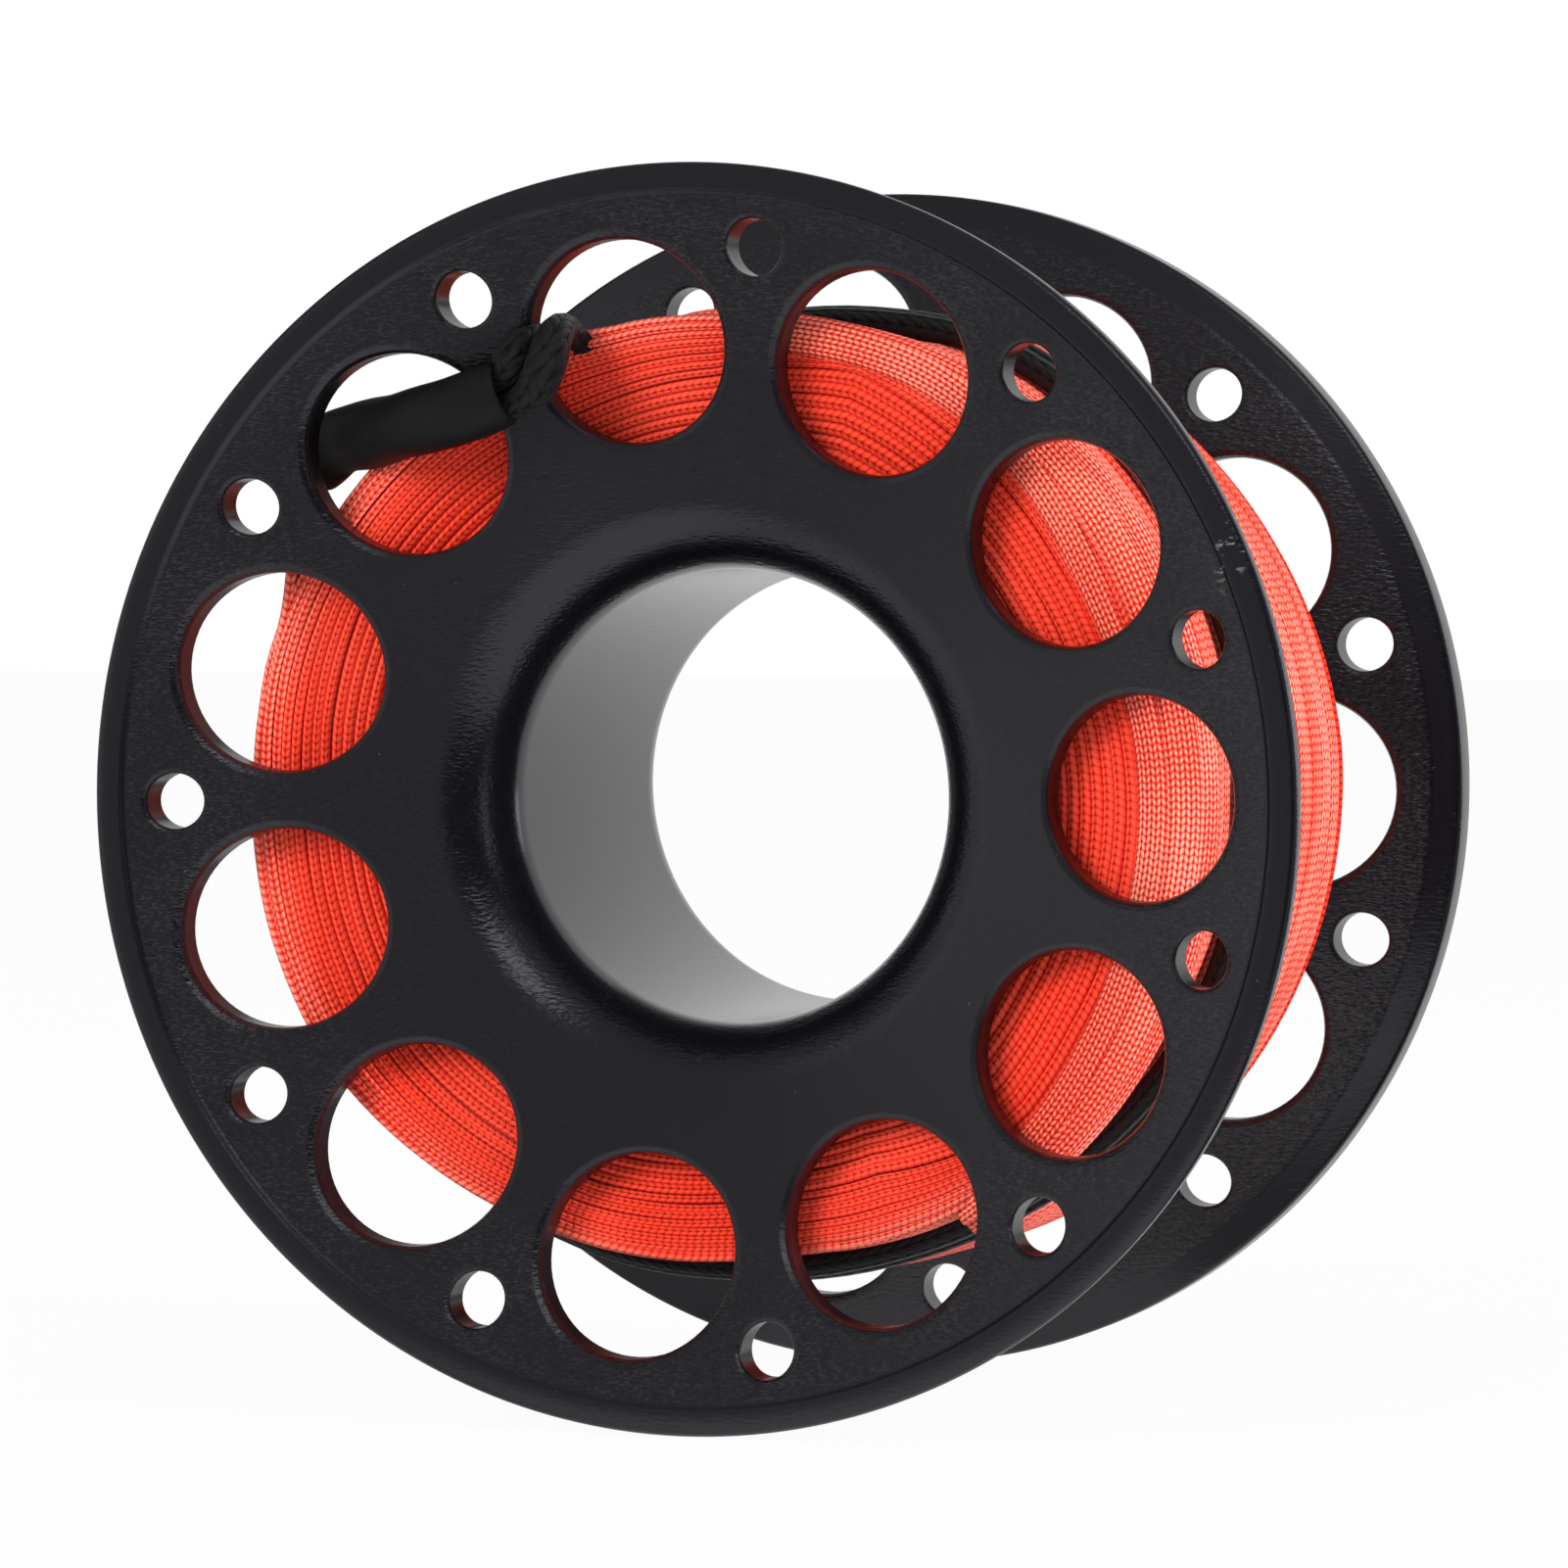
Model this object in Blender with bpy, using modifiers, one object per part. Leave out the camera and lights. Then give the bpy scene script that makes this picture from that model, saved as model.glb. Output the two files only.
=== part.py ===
# Finger spool with its line and leader.
# The spool's own axis is the world Y axis, with the front flange toward -Y, and the
# origin is the middle of the finger bore. Pieces are drawn lying down, with the spool's
# axis along their own Z, and every piece is then turned upright by the same rotation.

import math

import bmesh
import bpy
from mathutils import Vector

# Driving sizes, in metres
FLANGE_DIAMETER = 0.0950
OVERALL_WIDTH = 0.0540
BORE_DIAMETER = 0.0345
PACK_DIAMETER = 0.0764
WEB_THICKNESS = 0.0032
HOLE_BRIDGE = 0.00438
SMALL_HOLE_DIAMETER = 0.0045

# Sizes of the turned metal
BARREL_WALL = 0.00325
SPIGOT_STEP = 0.0008
SPIGOT_LENGTH = 0.0016
SPIGOT_PAST_THROAT = 0.00413
LAND_WIDTH = 0.0024
LAND_RISE = 0.0005
EDGE_ROUND = 0.0007

# Sizes of the line, the leader and its sleeve
LINE_WIDTH = 0.00265
LINE_THICKNESS = 0.0013
LINE_PITCH_GAP = 0.0005
STRAND_DIAMETER = 0.0020
STRAND_GAP = 0.0005
PACK_STRAND_GAP = 0.0011
SLEEVE_DIAMETER = 0.0050
SLEEVE_WALL = 0.0004
ENTRY_LENGTH = 0.0060
ENTRY_SHARE = 0.75

# Clearances between neighbours
CLEARANCE = 0.0003
PRESS_GAP = 0.0003
RESTING_GAP = 0.0005

# Shares and angles of the flanges
DISH_SLOPE_SHARE = 0.268
FLARE_REACH_SHARE = 0.294
LARGE_CIRCLE_SHARE = 0.7316
SMALL_CIRCLE_SHARE = 0.8737
HOLE_COUNT = 11
HOLE_TURN_SHARE = math.tau / HOLE_COUNT
FIRST_HOLE_ANGLE = math.radians(98.9)
REAR_TURN = math.radians(-1.4)

# Colours
ANODISED_BLACK = (0.020, 0.020, 0.022)
LINE_ORANGE = (0.90, 0.07, 0.02)
CORD_BLACK = (0.012, 0.012, 0.013)
SLEEVE_BLACK = (0.016, 0.016, 0.017)

# Fineness of the turned and drilled forms
FLANGE_STEPS = 88
CORE_STEPS = 48
FLARE_STEPS = 7
LARGE_HOLE_STEPS = 32
SMALL_HOLE_STEPS = 16
LOOP_STEPS = 24
STEP_ANGLE = math.tau / LOOP_STEPS

# Shape of the wound pack
PACK_CROWN_SHARE = 0.0314
PACK_CROWN_CENTRE_SHARE = -0.14
PACK_LEAN_SHARE = 0.013
RESTING_SHARE = 0.5

# Places that follow from the sizes above
FLANGE_RADIUS = FLANGE_DIAMETER / 2
HALF_WIDTH = OVERALL_WIDTH / 2
BORE_RADIUS = BORE_DIAMETER / 2
BARREL_RADIUS = BORE_RADIUS + BARREL_WALL
SPIGOT_RADIUS = BARREL_RADIUS - SPIGOT_STEP
PACK_RADIUS = PACK_DIAMETER / 2
LARGE_CIRCLE = FLANGE_RADIUS * LARGE_CIRCLE_SHARE
SMALL_CIRCLE = FLANGE_RADIUS * SMALL_CIRCLE_SHARE
LARGE_HOLE_DIAMETER = 2 * LARGE_CIRCLE * math.sin(HOLE_TURN_SHARE / 2) - HOLE_BRIDGE
LAND_START = FLANGE_RADIUS - LAND_WIDTH
DISH_COSINE = 1 / math.hypot(1, DISH_SLOPE_SHARE)
DISH_SINE = DISH_SLOPE_SHARE * DISH_COSINE
FACE_AT_LAND = HALF_WIDTH - LAND_RISE
SLOPED_CLEARANCE = CLEARANCE / DISH_COSINE
CHORD_SHARE = math.cos(STEP_ANGLE / 2)
LINE_PITCH = LINE_WIDTH + LINE_PITCH_GAP


def outer_face(radius):
    """Height of the dished outer face of the front flange at a radius."""
    return FACE_AT_LAND + DISH_SLOPE_SHARE * (radius - LAND_START)


def inner_face(radius):
    """Height of the dished inner face of the front flange at a radius."""
    return outer_face(radius) - WEB_THICKNESS


def flare_size():
    """Radius and throat height of the round that leads the face into the bore."""
    flare = (LARGE_CIRCLE - BORE_RADIUS) * FLARE_REACH_SHARE / (1 - DISH_SINE)
    foot = BORE_RADIUS + flare * (1 - DISH_SINE)
    return flare, outer_face(foot) - flare * DISH_COSINE


FLARE_RADIUS, THROAT = flare_size()
FLARE_CENTRE = BORE_RADIUS + FLARE_RADIUS
FLARE_END = math.acos(DISH_SINE)


def flare_points(start, end, count, side):
    """Points of the flare between two angles, measured from the bore outward."""
    points = []
    for index in range(count + 1):
        angle = start + (end - start) * index / count
        radius = FLARE_CENTRE - FLARE_RADIUS * math.cos(angle)
        height = THROAT + FLARE_RADIUS * math.sin(angle)
        points.append((radius, side * height))
    return points


# The leader's route over the pack: angle in degrees, place across the pack as a share of
# its half width, then depth and half width of its valley as shares of the pack's radius
LEADER_ROUTE_SHARES = (
    (120, 1.00, 0.000, 0.15),
    (105, 0.86, 0.092, 0.22),
    (90, 0.62, 0.100, 0.21),
    (75, 0.58, 0.080, 0.17),
    (60, 0.52, 0.045, 0.15),
    (45, 0.40, 0.022, 0.15),
    (30, 0.28, 0.016, 0.15),
    (15, 0.26, 0.020, 0.15),
    (0, 0.29, 0.026, 0.15),
    (-15, 0.27, 0.022, 0.15),
    (-30, 0.25, 0.030, 0.15),
    (-45, 0.34, 0.038, 0.15),
    (-60, 0.52, 0.044, 0.15),
    (-75, 0.62, 0.055, 0.15),
    (-90, 0.62, 0.060, 0.15),
    (-105, 0.57, 0.052, 0.15),
    (-120, 0.52, 0.044, 0.15),
    (-135, 0.48, 0.040, 0.15),
    (-150, 0.48, 0.020, 0.15),
    (-165, 0.48, 0.000, 0.15),
)
LEADER_FIRST_ANGLE = 90
LEADER_LAST_ANGLE = -135
BEND_STEPS = 8
BEND_SWELL_SHARE = 0.9
BEND_REACH_SHARE = 2.6


def route_values(degrees):
    """Place across the pack, valley depth and valley half width at an angle."""
    degrees = (degrees + 180) % 360 - 180
    first, last = LEADER_ROUTE_SHARES[0], LEADER_ROUTE_SHARES[-1]
    shares = first if degrees >= first[0] else last
    for before, after in zip(LEADER_ROUTE_SHARES, LEADER_ROUTE_SHARES[1:]):
        if before[0] > degrees >= after[0]:
            share = (before[0] - degrees) / (before[0] - after[0])
            shares = [a + (b - a) * share for a, b in zip(before, after)]
    return shares[1] * EDGE_TURN, shares[2] * PACK_RADIUS, shares[3] * PACK_RADIUS


def crown(height):
    """Radius of the wound pack without its valley, largest a little behind the middle."""
    centre = HALF_WIDTH * PACK_CROWN_CENTRE_SHARE
    offset = (height - centre) / HALF_WIDTH
    return PACK_RADIUS * (1 - PACK_CROWN_SHARE * offset * offset)


EDGE_TURN = inner_face(crown(HALF_WIDTH)) - SLOPED_CLEARANCE - LINE_WIDTH / 2 \
    - LINE_THICKNESS * DISH_SLOPE_SHARE


def layer_radius(degrees, height):
    """Radius of the outer surface of the line at an angle and a height."""
    lean = PACK_RADIUS * PACK_LEAN_SHARE * math.sin(math.radians(degrees))
    middle, depth, spread = route_values(degrees)
    offset = (height - middle) / spread
    return crown(height) + lean - depth * math.exp(-offset ** 4)


def settled_radius(degrees, height):
    """Radius of the line's surface on the chords between the points of its loops."""
    step = math.degrees(STEP_ANGLE)
    low = math.floor(degrees / step) * step
    share = (degrees - low) / step
    first = layer_radius(low, height)
    second = layer_radius(low + step, height)
    return first + (second - first) * share


def strand_radius(degrees, height):
    """Radius of a leader strand's centre, resting on every turn that it touches."""
    reach = LINE_WIDTH / 2 + STRAND_DIAMETER * RESTING_SHARE
    highest = max(settled_radius(degrees, height + reach * side) for side in (-1, 0, 1))
    return highest + RESTING_GAP + STRAND_DIAMETER / 2


def place(degrees, radius, height):
    """Point at an angle, a radius and a height."""
    angle = math.radians(degrees)
    return Vector((radius * math.cos(angle), radius * math.sin(angle), height))


def make_collection(name):
    collection = bpy.data.collections.new(name)
    bpy.context.scene.collection.children.link(collection)
    return collection


def make_material(name, colour, metallic, roughness):
    material = bpy.data.materials.new(name)
    material.use_nodes = True
    shader = material.node_tree.nodes["Principled BSDF"]
    shader.inputs["Base Color"].default_value = (*colour, 1.0)
    shader.inputs["Metallic"].default_value = metallic
    shader.inputs["Roughness"].default_value = roughness
    material.diffuse_color = (*colour, 1.0)
    return material


def finish(item, mesh, material, collection):
    """Turn a piece upright and give it its material."""
    piece = bpy.data.objects.new(item, mesh)
    mesh.materials.append(material)
    piece.rotation_euler.x = math.pi / 2
    collection.objects.link(piece)
    return piece


def turned(item, profile, steps, material, collection):
    """A closed profile of radii and heights, turned about the spool's axis."""
    mesh = bpy.data.meshes.new(item)
    points = [(radius, 0.0, height) for radius, height in profile]
    edges = [(index, (index + 1) % len(points)) for index in range(len(points))]
    mesh.from_pydata(points, edges, [])
    piece = finish(item, mesh, material, collection)
    screw = piece.modifiers.new("Turn", "SCREW")
    screw.axis = "Z"
    screw.steps = steps
    screw.render_steps = steps
    screw.use_merge_vertices = True
    screw.merge_threshold = 0.00001
    screw.use_normal_calculate = False
    screw.use_smooth_shade = True
    return piece


def tube_mesh(item, points, radii, depth, roundness, capped):
    """Mesh of a round tube along points, with a share of its radius at each."""
    curve = bpy.data.curves.new(item, "CURVE")
    curve.dimensions = "3D"
    curve.twist_mode = "MINIMUM"
    curve.bevel_depth = depth
    curve.bevel_resolution = roundness
    curve.use_fill_caps = capped
    return curve_to_mesh(item, curve, points, radii)


def ribbon_mesh(item, points, section):
    """Mesh of a flat line along points, with its width along the spool's axis."""
    outline = bpy.data.curves.new(item + " section", "CURVE")
    outline.dimensions = "2D"
    spline = outline.splines.new("POLY")
    spline.points.add(len(section) - 1)
    for point, (across, along) in zip(spline.points, section):
        point.co = (across, along, 0.0, 1.0)
    spline.use_cyclic_u = True
    holder = bpy.data.objects.new(item + " section", outline)
    bpy.context.scene.collection.objects.link(holder)
    curve = bpy.data.curves.new(item, "CURVE")
    curve.dimensions = "3D"
    curve.twist_mode = "Z_UP"
    curve.bevel_mode = "OBJECT"
    curve.bevel_object = holder
    curve.use_fill_caps = True
    mesh = curve_to_mesh(item, curve, points, [1.0] * len(points))
    bpy.data.objects.remove(holder)
    return mesh


def curve_to_mesh(item, curve, points, radii):
    """Fill a curve with its points and turn it into a closed mesh facing out."""
    spline = curve.splines.new("POLY")
    spline.points.add(len(points) - 1)
    for point, position, radius in zip(spline.points, points, radii):
        point.co = (*position, 1.0)
        point.radius = radius
    holder = bpy.data.objects.new(item + " route", curve)
    bpy.context.scene.collection.objects.link(holder)
    bpy.context.view_layer.update()
    graph = bpy.context.evaluated_depsgraph_get()
    mesh = bpy.data.meshes.new_from_object(holder.evaluated_get(graph))
    bpy.data.objects.remove(holder)
    body = bmesh.new()
    body.from_mesh(mesh)
    bmesh.ops.remove_doubles(body, verts=body.verts, dist=0.00001)
    bmesh.ops.recalc_face_normals(body, faces=body.faces)
    body.to_mesh(mesh)
    body.free()
    mesh.name = item
    return mesh


def shade_round(piece, degrees):
    for polygon in piece.data.polygons:
        polygon.use_smooth = True
    piece.data.set_sharp_from_angle(angle=math.radians(degrees))


def drill_holes(piece, name, turn, side, collection):
    """Cut the ring of large and small holes straight along the axis."""
    mesh = bpy.data.meshes.new(name)
    body = bmesh.new()
    sizes = (
        (LARGE_CIRCLE, LARGE_HOLE_DIAMETER / 2, LARGE_HOLE_STEPS, 0.0),
        (SMALL_CIRCLE, SMALL_HOLE_DIAMETER / 2, SMALL_HOLE_STEPS, HOLE_TURN_SHARE / 2),
    )
    for circle, radius, steps, shift in sizes:
        reach = DISH_SLOPE_SHARE * radius + WEB_THICKNESS
        middle = side * (outer_face(circle) + inner_face(circle)) / 2
        for index in range(HOLE_COUNT):
            angle = FIRST_HOLE_ANGLE + turn - shift - index * HOLE_TURN_SHARE
            made = bmesh.ops.create_cone(
                body, cap_ends=True, segments=steps, radius1=radius, radius2=radius,
                depth=2 * reach)
            centre = (circle * math.cos(angle), circle * math.sin(angle), middle)
            bmesh.ops.translate(body, verts=made["verts"], vec=centre)
    body.to_mesh(mesh)
    body.free()
    cutter = bpy.data.objects.new(name, mesh)
    cutter.rotation_euler.x = math.pi / 2
    cutter.hide_render = True
    cutter.display_type = "WIRE"
    collection.objects.link(cutter)
    cut = piece.modifiers.new("Drill", "BOOLEAN")
    cut.operation = "DIFFERENCE"
    cut.solver = "EXACT"
    cut.object = cutter


# The rounded edge of the rim's land and the smaller one behind it, each as distances in
# from the corner, as shares of the edge's round
LAND_EDGE_SHARES = ((1.9, 0.0), (0.9, 0.3), (0.25, 1.0), (0.0, 1.9))
BACK_EDGE_SHARES = ((0.0, 1.0), (0.3, 0.25))


def rim_points(side):
    """Section of a flange's rim, from the step of its land round to its inner face."""
    back = inner_face(FLANGE_RADIUS)
    points = [(LAND_START, FACE_AT_LAND), (LAND_START + LAND_RISE, HALF_WIDTH)]
    for inward, down in LAND_EDGE_SHARES:
        points.append((FLANGE_RADIUS - EDGE_ROUND * inward, HALF_WIDTH - EDGE_ROUND * down))
    for inward, rise in BACK_EDGE_SHARES:
        points.append((FLANGE_RADIUS - EDGE_ROUND * inward, back + EDGE_ROUND * rise))
    inner = FLANGE_RADIUS - EDGE_ROUND
    points.append((inner, inner_face(inner)))
    return [(radius, side * height) for radius, height in points]


def spigot_end():
    """Height where the barrel ends behind the rear throat, and the flare angle there."""
    angle = math.asin(SPIGOT_PAST_THROAT / FLARE_RADIUS)
    return THROAT + SPIGOT_PAST_THROAT, angle


def lip_start():
    """Height and flare angle where the rear flange takes over from the barrel."""
    height = SPIGOT_PAST_THROAT + PRESS_GAP
    return THROAT + height, math.asin(height / FLARE_RADIUS)


def make_front_flange(material, collection, cutters):
    end, end_angle = spigot_end()
    shoulder = end - SPIGOT_LENGTH
    profile = rim_points(1)
    profile.append((BARREL_RADIUS, inner_face(BARREL_RADIUS)))
    profile.append((BARREL_RADIUS, -shoulder))
    profile.append((SPIGOT_RADIUS, -shoulder))
    profile.append((SPIGOT_RADIUS, -end))
    profile += reversed(flare_points(0.0, end_angle, 2, -1))
    profile += flare_points(0.0, FLARE_END, FLARE_STEPS, 1)
    piece = turned("front_flange_and_barrel", profile, FLANGE_STEPS, material, collection)
    drill_holes(piece, "front hole drills", 0.0, 1, cutters)


def make_rear_flange(material, collection, cutters):
    lip, lip_angle = lip_start()
    seat = SPIGOT_RADIUS + PRESS_GAP
    profile = list(reversed(rim_points(-1)))
    profile += reversed(flare_points(lip_angle, FLARE_END, FLARE_STEPS - 2, -1))
    profile.append((seat, -lip))
    profile.append((seat, -inner_face(seat)))
    piece = turned("rear_flange", profile, FLANGE_STEPS, material, collection)
    drill_holes(piece, "rear hole drills", REAR_TURN, -1, cutters)


def core_radius(height):
    """Radius of the layers under the outer one, below the leader's valley as well."""
    lowest = min(
        layer_radius(index * math.degrees(STEP_ANGLE), height + reach * LINE_PITCH)
        for index in range(LOOP_STEPS) for reach in (-1, 0, 1))
    return (lowest - LINE_THICKNESS) * CHORD_SHARE - CLEARANCE


CORE_STATION_SHARES = (1.0, 0.5, 0.0, -0.15, -0.3, -0.6, -1.0)


def make_line_core(material, collection):
    profile = []
    for share in CORE_STATION_SHARES:
        height = share * EDGE_TURN
        radius = core_radius(height)
        if abs(share) == 1.0:
            height = share * (inner_face(radius) - SLOPED_CLEARANCE)
        profile.append((radius, height))
    foot = BARREL_RADIUS + CLEARANCE
    base = inner_face(foot) - SLOPED_CLEARANCE
    profile.append((foot, -base))
    profile.append((foot, base))
    turned("line_inner_layers", profile, CORE_STEPS, material, collection)


# The sleeve's route, front to back: angle in degrees, radius as a share of the large
# holes' circle, and how far it has dropped through the hole as a share of the whole drop
SLEEVE_ROUTE_SHARES = (
    (114.7, 0.966, 0.00),
    (121.6, 0.985, 0.01),
    (128.6, 1.040, 0.24),
    (133.9, 1.102, 0.56),
    (138.5, 1.171, 0.82),
    (142.6, 1.205, 1.00),
)


def sleeve_points():
    stand_off = (SLEEVE_DIAMETER / 2 + CLEARANCE) / DISH_COSINE
    drop = WEB_THICKNESS + 2 * stand_off
    first = SLEEVE_ROUTE_SHARES[0]
    top = outer_face(first[1] * LARGE_CIRCLE) + stand_off
    return [
        place(degrees, share * LARGE_CIRCLE, top - fall * drop)
        for degrees, share, fall in SLEEVE_ROUTE_SHARES
    ]


def smooth_route(points, parts):
    """Points along a smooth route through the given ones, parts to each stretch."""
    route = []
    last = len(points) - 1
    for index in range(last):
        before = points[max(index - 1, 0)]
        start, end = points[index], points[index + 1]
        after = points[min(index + 2, last)]
        for part in range(parts):
            t = part / parts
            pull = (end - before) * (t - 2 * t * t + t ** 3) / 2
            push = (after - start) * (t ** 3 - t * t) / 2
            keep = start * (1 - 3 * t * t + 2 * t ** 3)
            reach = end * (3 * t * t - 2 * t ** 3)
            route.append(keep + reach + pull + push)
    route.append(points[last].copy())
    return route


def make_sleeve(material, collection):
    route = smooth_route(sleeve_points(), 2)
    radii = [1.0] * len(route)
    mesh = tube_mesh("leader_sleeve", route, radii, SLEEVE_DIAMETER / 2, 4, False)
    piece = finish("leader_sleeve", mesh, material, collection)
    wall = piece.modifiers.new("Wall", "SOLIDIFY")
    wall.thickness = SLEEVE_WALL
    wall.offset = -1.0
    wall.use_rim = True
    shade_round(piece, 60)


def walk(points, length):
    """Point and direction at a length along points from the first one."""
    for start, end in zip(points, points[1:]):
        stretch = (end - start).length
        if stretch >= length:
            return start + (end - start) * (length / stretch), (end - start).normalized()
        length -= stretch
    return points[-1].copy(), (points[-1] - points[-2]).normalized()


LAND_ANGLES = (172, 164, 156)
LAND_RISE_SHARES = (0.1, 0.35, 0.68)


def make_line_layer(material, collection):
    """The outermost layer of line, its end led up into the back of the sleeve."""
    turns = int(2 * EDGE_TURN / LINE_PITCH)
    count = turns * LOOP_STEPS
    start = 180
    points = []
    for index in range(count + 1):
        degrees = start - index * math.degrees(STEP_ANGLE)
        height = EDGE_TURN * (2 * index / count - 1)
        radius = layer_radius(degrees, height) - LINE_THICKNESS / 2
        points.append(place(degrees, radius, height))
    sleeve = list(reversed(smooth_route(sleeve_points(), 2)))
    mouth = sleeve[0]
    mouth_radius = math.hypot(mouth.x, mouth.y)
    landing = layer_radius(start, EDGE_TURN) - LINE_THICKNESS / 2
    for degrees, share in zip(LAND_ANGLES, LAND_RISE_SHARES):
        radius = landing + (mouth_radius - landing) * share
        height = EDGE_TURN + (mouth.z - EDGE_TURN) * share ** 2
        points.append(place(degrees, radius, height))
    heading = (sleeve[1] - mouth).normalized()
    points.append(mouth - heading * LINE_WIDTH)
    points.append(mouth)
    for share in (0.4, 0.8):
        inside, _ = walk(sleeve, ENTRY_LENGTH * share)
        points.append(inside)
    half_width = LINE_WIDTH / 2
    half_thick = LINE_THICKNESS / 2
    flat = half_width * 0.66
    section = (
        (0.0, half_width), (-half_thick, flat), (-half_thick, -flat),
        (0.0, -half_width), (half_thick, -flat), (half_thick, flat))
    mesh = ribbon_mesh("line_outer_layer", points, section)
    piece = finish("line_outer_layer", mesh, material, collection)
    shade_round(piece, 80)
    print("line turns", turns, "pitch mm", round(2000 * EDGE_TURN / turns, 3))
    print_gap("line_outer_layer", points, [LINE_WIDTH] * len(points), LOOP_STEPS // 2)


def print_gap(item, points, widths, apart):
    """Print the least gap between parts of a tube that lie apart along it."""
    least = OVERALL_WIDTH
    for index, first in enumerate(points):
        for other in range(index + apart, len(points)):
            width = (widths[index] + widths[other]) / 2
            least = min(least, (first - points[other]).length - width)
    print(item, "least gap to itself mm", round(least * 1000, 3))


# The leader between the sleeve and the pack: angle in degrees, radius as a share of the
# large holes' circle, and fall from the sleeve's mouth as a share of the web thickness
CROSSING_SHARES = (
    (110.3, 0.968, 0.22),
    (106.2, 1.024, 0.60),
    (104.3, 1.075, 1.50),
)
LANDING_ANGLES = (101.5, 96.5)
LANDING_SHARES = (0.84, 0.66)


def leader_crossing():
    """Centre line of the doubled leader from the sleeve to the pack, with the way that it
    faces and the share of its size at each point."""
    sleeve = smooth_route(sleeve_points(), 2)
    mouth = sleeve[0]
    up = Vector((0.0, 0.0, 1.0))
    inside, _ = walk(sleeve, ENTRY_LENGTH)
    middle, _ = walk(sleeve, ENTRY_LENGTH / 2)
    points = [(point, up, ENTRY_SHARE) for point in (inside, middle, mouth)]
    for index, (degrees, share, fall) in enumerate(CROSSING_SHARES):
        point = place(degrees, share * LARGE_CIRCLE, mouth.z - fall * WEB_THICKNESS)
        out = Vector((point.x, point.y, 0.0)).normalized()
        tilt = (index + 0.5) / len(CROSSING_SHARES)
        points.append((point, (up * (1 - tilt) + out * tilt).normalized(), 1.0))
    for degrees, share in zip(LANDING_ANGLES, LANDING_SHARES):
        height = share * EDGE_TURN
        point = place(degrees, strand_radius(degrees, height), height)
        points.append((point, Vector((point.x, point.y, 0.0)).normalized(), 1.0))
    return points


def leader_on_pack(side):
    """Points of one strand of the leader, one at each angle of the line's own points."""
    step = int(math.degrees(STEP_ANGLE))
    points = []
    for degrees in range(LEADER_FIRST_ANGLE, LEADER_LAST_ANGLE - 1, -step):
        height = route_values(degrees)[0]
        climb = route_values(degrees - step)[0] - route_values(degrees + step)[0]
        run = 2 * PACK_RADIUS * STEP_ANGLE
        apart = STRAND_DIAMETER + PACK_STRAND_GAP
        height -= side * apart / 2 * math.hypot(1, climb / run)
        points.append(place(degrees, strand_radius(degrees, height), height))
    return points


def leader_bend(first, second, heading):
    """The open loop at the far end, from one strand round to the other."""
    middle = (first + second) / 2
    spread = (second - first) / 2
    points = []
    for index in range(1, BEND_STEPS):
        angle = math.pi * index / BEND_STEPS
        swell = 1 + BEND_SWELL_SHARE * math.sin(angle)
        reach = heading * (spread.length * BEND_REACH_SHARE * math.sin(angle))
        point = middle - spread * math.cos(angle) * swell + reach
        degrees = math.degrees(math.atan2(point.y, point.x))
        points.append(place(degrees, strand_radius(degrees, point.z), point.z))
    return points


def make_leader(material, collection):
    """The doubled leader as one cord: out along the pack, round its end and back."""
    crossing = leader_crossing()
    sides = {1: [], -1: []}
    last = len(crossing) - 1
    for index, (point, normal, size) in enumerate(crossing):
        ahead = crossing[min(index + 1, last)][0]
        behind = crossing[max(index - 1, 0)][0]
        across = normal.cross((ahead - behind).normalized()).normalized()
        apart = STRAND_DIAMETER * size + STRAND_GAP
        for side in (1, -1):
            sides[side].append((point + across * side * apart / 2, size))
    for side in (1, -1):
        sides[side] += [(point, 1.0) for point in leader_on_pack(side)]
    first, second = sides[1][-1][0], sides[-1][-1][0]
    heading = (first - sides[1][-2][0]).normalized()
    bend = [(point, 1.0) for point in leader_bend(first, second, heading)]
    route = sides[1] + bend + list(reversed(sides[-1]))
    points = [point for point, _ in route]
    radii = [size for _, size in route]
    mesh = tube_mesh("leader_cord", points, radii, STRAND_DIAMETER / 2, 2, True)
    piece = finish("leader_cord", mesh, material, collection)
    shade_round(piece, 80)
    print("leader points", len(points))
    widths = [STRAND_DIAMETER * size for size in radii]
    print_gap("leader_cord", points, widths, BEND_STEPS)


def main():
    for item in list(bpy.data.objects):
        bpy.data.objects.remove(item)
    spool = make_collection("Finger spool")
    cutters = make_collection("Cutters")
    front = make_material("front flange anodising", ANODISED_BLACK, 0.6, 0.42)
    rear = make_material("rear flange anodising", ANODISED_BLACK, 0.6, 0.42)
    inner = make_material("inner line braid", LINE_ORANGE, 0.0, 0.75)
    outer = make_material("outer line braid", LINE_ORANGE, 0.0, 0.75)
    cord = make_material("leader braid", CORD_BLACK, 0.0, 0.80)
    shrink = make_material("sleeve plastic", SLEEVE_BLACK, 0.0, 0.55)
    make_front_flange(front, spool, cutters)
    make_rear_flange(rear, spool, cutters)
    make_line_core(inner, spool)
    make_line_layer(outer, spool)
    make_leader(cord, spool)
    make_sleeve(shrink, spool)


main()
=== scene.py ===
# %% [markdown]
# # A finger spool with its line and leader
# This lesson dresses a plain CAD model of a finger spool: a turned black metal spool that
# a diver carries on one finger, with a flat orange line wound on it and a doubled black
# leader. The CAD model gives every place in metres, with the spool's axis along Y, the
# front flange toward minus Y and the middle of the finger bore at the origin.

import math

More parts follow.
